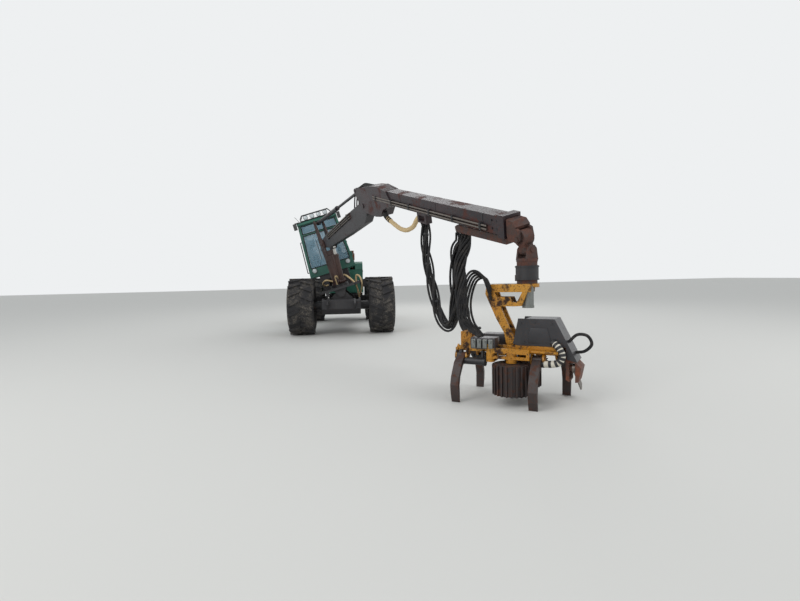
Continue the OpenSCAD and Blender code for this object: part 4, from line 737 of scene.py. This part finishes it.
blocks = bmesh.new()
for k in range(4):
    along = VALVE_PITCH * k
    block(blocks, (-0.535 + along, -0.325, 0.62), (-0.485 + along, -0.288, 0.72), 0.006)
    bar(blocks, (-0.51 + along, -0.32, 0.7), (-0.51 + along, -0.35, 0.7), 0.014, 8)
piece("valve_sections", blocks, HEAD, "head", galvanised)

for label, s in (("near", -1), ("far", 1)):
    barrel = bmesh.new()
    y, z = s * CYLINDER_SIDE, CYLINDER_Z
    bar(barrel, (CYLINDER_ENDS[0], y, z), (CYLINDER_ENDS[1], y, z), 0.042, 24)
    for x in CYLINDER_ENDS:
        bar(barrel, (x - 0.016, y, z), (x + 0.016, y, z), 0.05, 24)
    y = s * EYE_SIDE
    for x0, x1 in ((-0.73, -0.69), (-0.46, -0.43)):
        block(barrel, (x0, y - 0.03, 0.44), (x1, y + 0.03, 0.575), 0.008)
    piece("knife_cylinder_" + label, barrel, HEAD, "head", black_enamel)
    rail = bmesh.new()
    y = s * SPINE_SIDE
    block(rail, (-0.4, y - 0.035, 0.585), (0.4, y + 0.035, 0.61), 0.006)
    for x in (-0.3, -0.1, 0.1, 0.3):
        bolt(rail, (x, y, 0.61), (0, 0, 1), 0.013)
    piece("head_side_rail_" + label, rail, HEAD, "head", yellow_enamel)

hood_trim = bmesh.new()
for s in (-1, 1):
    for x, z in ((-0.02, 0.9), (0.14, 0.915), (0.32, 0.9), (0.02, 0.69), (0.42, 0.66), (0.5, 0.57)):
        bolt(hood_trim, (x, s * 0.154, z), (0, s, 0), 0.012)
    y = s * 0.157
    plate(hood_trim, [(0.06, 0.68), (0.32, 0.68), (0.27, 0.85), (0.09, 0.85)],
          y - 0.004, y + 0.004, 0.002)
piece("hood_cover_screws", hood_trim, HEAD, "head", hood_black)

WHEEL_X, WHEEL_Z, TEETH, TOOTH_FOOT, TOOTH_TIP = 0.16, 0.47, 20, 0.066, 0.088
wheel = bmesh.new()
bar(wheel, (WHEEL_X, -0.02, WHEEL_Z), (WHEEL_X, 0.02, WHEEL_Z), 0.07, 32)
for k in range(TEETH):
    a = 2 * pi * k / TEETH
    foot, tip = [(WHEEL_X + r * cos(a), 0, WHEEL_Z + r * sin(a)) for r in (TOOTH_FOOT, TOOTH_TIP)]
    bar(wheel, foot, tip, 0.011, 6, 0.003)
block(wheel, (WHEEL_X - 0.03, -0.03, WHEEL_Z), (WHEEL_X + 0.03, -0.021, WHEEL_Z + 0.1), 0.004)
piece("measuring_wheel", wheel, HEAD, "head", bare_steel)

# %% [markdown]
# The sleeve over the saw's hoses is white with black stripes round it. Loops of hose stand out
# from the tilt frame on the side of the rear knives, and give the head room to turn and tip.

# %% Saw hose sleeve and hose loops
SAW_SLEEVE, SAW_RING_HOSE, TILT_HOSE = 0.075, 0.034, 0.027


def head_route(points):
    return smooth_route([HEAD @ Vector(p) + MID for p in points], 10)


saw_path = head_route([(0.33, -0.165, 0.7), (0.4, -0.2, 0.645), (0.435, -0.215, 0.56),
                       (0.38, -0.215, 0.485), (0.21, -0.205, 0.465)])
saw_sleeve = hose_curve("saw_hose_sleeve", saw_path, SAW_SLEEVE, white_cloth)
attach(saw_sleeve, "head")
stripes = bmesh.new()
for i in range(2, len(saw_path) - 2, 4):
    band(stripes, saw_path, i, 0.015, SAW_SLEEVE / 2 + 0.001)
stripe_piece = piece("saw_sleeve_stripes", stripes, Matrix(), "head", moulded_plastic)

ring_path = head_route([(0.476, -0.05, 0.7), (0.56, -0.045, 0.78), (0.66, -0.03, 0.77),
                        (0.7, -0.01, 0.68), (0.63, 0.01, 0.6), (0.536, 0.02, 0.58)])
saw_ring = hose_curve("saw_hose_ring", ring_path, SAW_RING_HOSE, hose_rubber)
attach(saw_ring, "head")
print("saw ring hose", round(path_length(ring_path), 2))

# Each loop of the tilt hoses stands out a little further than the one before
for k in range(5):
    y, grow = -0.13 - 0.035 * k, 0.025 * k
    path = head_route([(-0.37, -0.105, 1.27 - 0.028 * k), (-0.42, y, 1.4 + 0.4 * grow),
                       (-0.53 - 0.4 * grow, y - 0.02, 1.36 + grow), (-0.6 - grow, y - 0.02, 1.12),
                       (-0.57 - grow, y - 0.01, 0.9), (-0.46, y, 0.738)])
    one = hose_curve(f"tilt_hose_{k + 1}", path, TILT_HOSE, hose_rubber)
    one = flexed(one, "tilt_frame", "head", path)
    print("tilt hose", round(path_length(path), 2))

# %% [markdown]
# ## Seat
# The cushion and the backrest are foam in sewn cloth, so each is blown up a little by a cloth
# simulation from a slightly smaller block, and then the sewn channels are pressed in.

# %% Seat cushion and backrest
VOXEL, PRESSURE, CLOTH_FRAMES, SWELL_CAP = 0.009, 4, 20, 0.02
CHANNEL_DEPTH, CHANNEL_WIDTH, TOP_ABOVE = 0.009, 0.008, 0.06


def settle(made):
    """The object's mesh as its modifiers leave it, and no modifier any more."""
    mesh = final_mesh(made)
    made.modifiers.clear()
    made.data = mesh
    return mesh


def pad(name, shape, channels, place):
    """A swollen pad with its thickness along Z; a channel is an axis and a place across it."""
    start = bpy.data.meshes.new(name + "_start")
    shape.to_mesh(start)
    shape.free()
    made = new_object(name, start)
    scene = bpy.context.scene
    remesh = made.modifiers.new("voxels", "REMESH")
    remesh.mode, remesh.voxel_size = "VOXEL", VOXEL
    before = [v.co.copy() for v in settle(made).vertices]
    cloth = made.modifiers.new("swell", "CLOTH")
    cloth.settings.use_pressure = True
    cloth.settings.uniform_pressure_force = PRESSURE
    cloth.settings.effector_weights.gravity = 0
    for step in range(1, CLOTH_FRAMES + 1):
        scene.frame_set(step)
    swollen = settle(made)
    scene.frame_set(1)
    for vertex, was in zip(swollen.vertices, before):
        grown = vertex.co - was
        if grown.length > SWELL_CAP:
            vertex.co = was + grown * (SWELL_CAP / grown.length)
        for axis, at in channels:
            if vertex.co.z > TOP_ABOVE:
                across = (vertex.co[axis] - at) / CHANNEL_WIDTH
                vertex.co.z -= CHANNEL_DEPTH * 2.718 ** (-across ** 2)
    made.data.transform(place)
    made.data.materials.clear()
    made.data.materials.append(seat_cloth)
    made.data.shade_smooth()
    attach(made, "deck")
    return made


base = bmesh.new()
block(base, (-0.89, -0.15, 0.06), (-0.59, 0.15, 0.3), 0.01)
block(base, (-0.98, -0.23, 0.3), (-0.5, 0.23, 0.335), 0.012)
bar(base, (-1.0, 0.0, 0.31), (-1.06, 0.0, 0.5), 0.028)
for k in range(5):
    fold = 0.1 + 0.04 * k
    block(base, (-0.904, -0.16, fold), (-0.58, 0.16, fold + 0.02), 0.008)
pedestal = piece("seat_pedestal", base, CAB, "deck", moulded_plastic)
low_pad = bmesh.new()
block(low_pad, (-0.24, -0.235, 0.008), (0.24, 0.235, 0.1), 0.035, 3)
pad("seat_cushion", low_pad, ((1, -0.12), (1, 0.12), (0, 0.1)), CAB @ moved(-0.74, 0, 0.333))
tall_pad = bmesh.new()
block(tall_pad, (-0.33, -0.215, 0.01), (0.33, 0.215, 0.1), 0.035, 3)
back_place = CAB @ moved(-1.075, 0, 0.76) @ turned(-97, "Y") @ Matrix.Scale(-1, 4, (0, 0, 1))
back = pad("seat_back", tall_pad, ((1, -0.11), (1, 0.11), (0, -0.08), (0, 0.12)), back_place)
back.data.flip_normals()
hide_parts("seat")
print("seat built")

# %% [markdown]
# ## Rear and elbow trim
# The engine hood's sides have pull latches and screws, and the frame's crossbeam carries the tail
# lamps. Hoses arch over the elbow from one boom to the next, long enough for the joint to fold.

# %% Latches, tail lamps and the elbow's hoses
HOOD_SIDE, LATCH_DEEP, TAIL_SIDE, ELBOW_HOSE = 0.62, 0.018, 0.53, 0.026
latches = bmesh.new()
for s in (-1, 1):
    y = s * HOOD_SIDE
    for x in (-4.6, -4.1, -3.6):
        inner, outer = sorted((y, y + s * LATCH_DEEP))
        block(latches, (x - 0.02, inner, 1.62), (x + 0.02, outer, 1.69), 0.004)
        bar(latches, (x - 0.03, y + s * 0.016, 1.625), (x + 0.03, y + s * 0.016, 1.625), 0.008, 10)
    for x in (-4.75, -4.25, -3.75, -3.3):
        for z in (1.02, 1.56):
            bolt(latches, (x, y, z), (0, s, 0), 0.01)
piece("hood_latches", latches, CARRIER, "rear", galvanised)

tail, tail_red, tail_amber = bmesh.new(), bmesh.new(), bmesh.new()
for s in (-1, 1):
    y = s * TAIL_SIDE
    block(tail, (-4.998, y - 0.09, 0.70), (-4.98, y + 0.09, 0.81), 0.006)
    block(tail_red, (-5.012, y - 0.08, 0.71), (-4.997, y, 0.8), 0.006)
    block(tail_amber, (-5.012, y + 0.006, 0.71), (-4.997, y + 0.08, 0.8), 0.006)
piece("tail_lamp_boxes", tail, CARRIER, "rear", moulded_plastic)
piece("tail_lamps_red", tail_red, CARRIER, "rear", red_plastic)
piece("tail_lamps_amber", tail_amber, CARRIER, "rear", amber_plastic)

up = MAIN.to_3x3() @ Vector((0, 0, 1))
for k in range(3):
    y = -0.05 + 0.05 * k
    a, b = MAIN @ Vector((3.0, y, 0.14)), TUBE @ Vector((0.62, y, 0.115))
    arch = ((0.2, 0.2), (0.45, 0.25 + 0.02 * k), (0.78, 0.13))
    over = [a.lerp(b, share) + up * rise + MID for share, rise in arch]
    path = smooth_route([a + MID, *over, b + MID], 12)
    one = hose_curve(f"elbow_hose_{k + 1}", path, ELBOW_HOSE, hose_rubber)
    one = flexed(one, "main_boom", "outer_boom", path)
    print("elbow hose", round(path_length(path), 2))

# %% [markdown]
# Short cream-sleeved hoses join the crane's pillar, the deck and the chassis. A tan filter stands at
# the pillar's foot, and rubber rings close the hose sleeve at the elbow.

# %% Pillar hoses, filter, boot and collar
for name, points, last, bodies, size in (
        ("pillar_hose_right",
         [(-0.334, 0.126, 0.45), (-0.24, 0.24, 0.4), (-0.14, 0.4, 0.16), (-0.12, 0.42, -0.02)],
         CARRIER @ Vector((-0.14, 0.452, 0.934)), ("pillar", "deck"), 0.05),
        ("deck_loop_right",
         [(-0.35, 0.45, 0.172), (-0.3, 0.5, 0.33), (-0.2, 0.58, 0.25), (-0.16, 0.56, 0.02)],
         CARRIER @ Vector((-0.26, 0.452, 0.934)), ("deck", "front"), 0.045),
        ("pillar_hose_left",
         [(-0.3575, -0.143, 0.35), (-0.38, -0.3, 0.43), (-0.55, -0.42, 0.38), (-0.8, -0.4, 0.3)],
         DECK @ Vector((-1.01, -0.33, 0.3)), ("pillar", "deck"), 0.045)):
    path = smooth_route([DECK @ Vector(p) + MID for p in points] + [last + MID], 10)
    one = flexed(hose_curve(name, path, size, cream_cloth), *bodies, path)
    print(name, round(path_length(path), 2))

filters = bmesh.new()
bar(filters, (-0.27, -0.02, 0.19), (-0.27, -0.02, 0.46), 0.048, 28)
bar(filters, (-0.27, -0.02, 0.455), (-0.27, -0.02, 0.48), 0.03, 20)
block(filters, (-0.32, -0.05, 0.3), (-0.268, 0.01, 0.33), 0.004)
piece("pillar_filter", filters, DECK, "pillar", cream_cloth)

boot = bmesh.new()
for i in range(1, 16, 2):
    band(boot, middle, i, 0.012, 0.047 - 0.0002 * i)
piece("sleeve_boot", boot, Matrix(), "outer_boom", hose_rubber)

COLLAR_RADIUS, COLLAR_LOW, COLLAR_HIGH = 0.128, 1.375, 1.53
collar = bmesh.new()
bar(collar, (0, 0, COLLAR_LOW), (0, 0, COLLAR_HIGH), COLLAR_RADIUS, 48)
for z in (COLLAR_LOW + 0.005, COLLAR_HIGH - 0.005):
    bar(collar, (0, 0, z - 0.008), (0, 0, z + 0.008), 0.135, 48)
bolt_circle(collar, (0, 0, 1.533), (0, 0, 1), 0.122, 12, 0.006)
piece("rotator_collar", collar, TURN, "rotator", black_enamel)
drum = bmesh.new()
bar(drum, (0.03, 0, 1.07), (0.03, 0, 1.3), 0.062, 32)
bar(drum, (0.03, 0, 1.06), (0.03, 0, 1.09), 0.066, 32)
piece("tilt_accumulator", drum, HEAD, "tilt_frame", galvanised)

# %% [markdown]
# ## Floor and light
# A plain pale floor keeps the shadow and lets the dark machine read clearly. Three broad lamps give
# the flat, bright light of an overcast yard, with a little more from the camera's left.

# %% Floor, world and lamps
FLOOR_HALF, LAMP_SIZE, SKY_STRENGTH = 60, 7, 0.8
floor_mesh = bmesh.new()
bmesh.ops.create_grid(floor_mesh, x_segments=1, y_segments=1, size=FLOOR_HALF)
floor_data = bpy.data.meshes.new("studio_floor")
floor_mesh.to_mesh(floor_data)
floor_mesh.free()
floor = new_object("studio_floor", floor_data)
pale, pale_tree = blank_material("pale_studio_floor")
principled(pale_tree, Base_Color=srgb("#D5D4D0"), Roughness=0.9)
floor_data.materials.append(pale)

world = bpy.data.worlds.new("soft_sky")
bpy.context.scene.world = world
world.use_nodes = True
sky = world.node_tree
sky.nodes.clear()
rays = add(sky, "ShaderNodeLightPath").outputs
seen = maths(sky, "MAXIMUM", rays["Is Camera Ray"], rays["Is Glossy Ray"])
seen = maths(sky, "MAXIMUM", seen, rays["Is Transmission Ray"])
lit = add(sky, "ShaderNodeBackground", {"Color": srgb("#E8ECEF"), "Strength": SKY_STRENGTH})
shown = add(sky, "ShaderNodeBackground", {"Color": srgb("#EEF0F1"), "Strength": 1.0})
either = add(sky, "ShaderNodeMixShader", {0: seen, 1: lit.outputs[0], 2: shown.outputs[0]})
add(sky, "ShaderNodeOutputWorld", {"Surface": either.outputs[0]})

for name, place, aim, power in (
        ("key_lamp", (12, -9, 9), (2, 0, 1), 620),
        ("fill_lamp", (9, 10, 8), (3, 1, 1), 300),
        ("back_lamp", (-9, 3, 9), (-2, 0, 1), 300)):
    light = bpy.data.lights.new(name, "AREA")
    light.energy, light.size = power, LAMP_SIZE
    lamp = new_object(name, light)
    towards = (Vector(place) - Vector(aim)).to_track_quat("Z", "Y").to_matrix().to_4x4()
    lamp.matrix_world = moved(*place) @ towards
bpy.context.scene.view_settings.view_transform = "Standard"
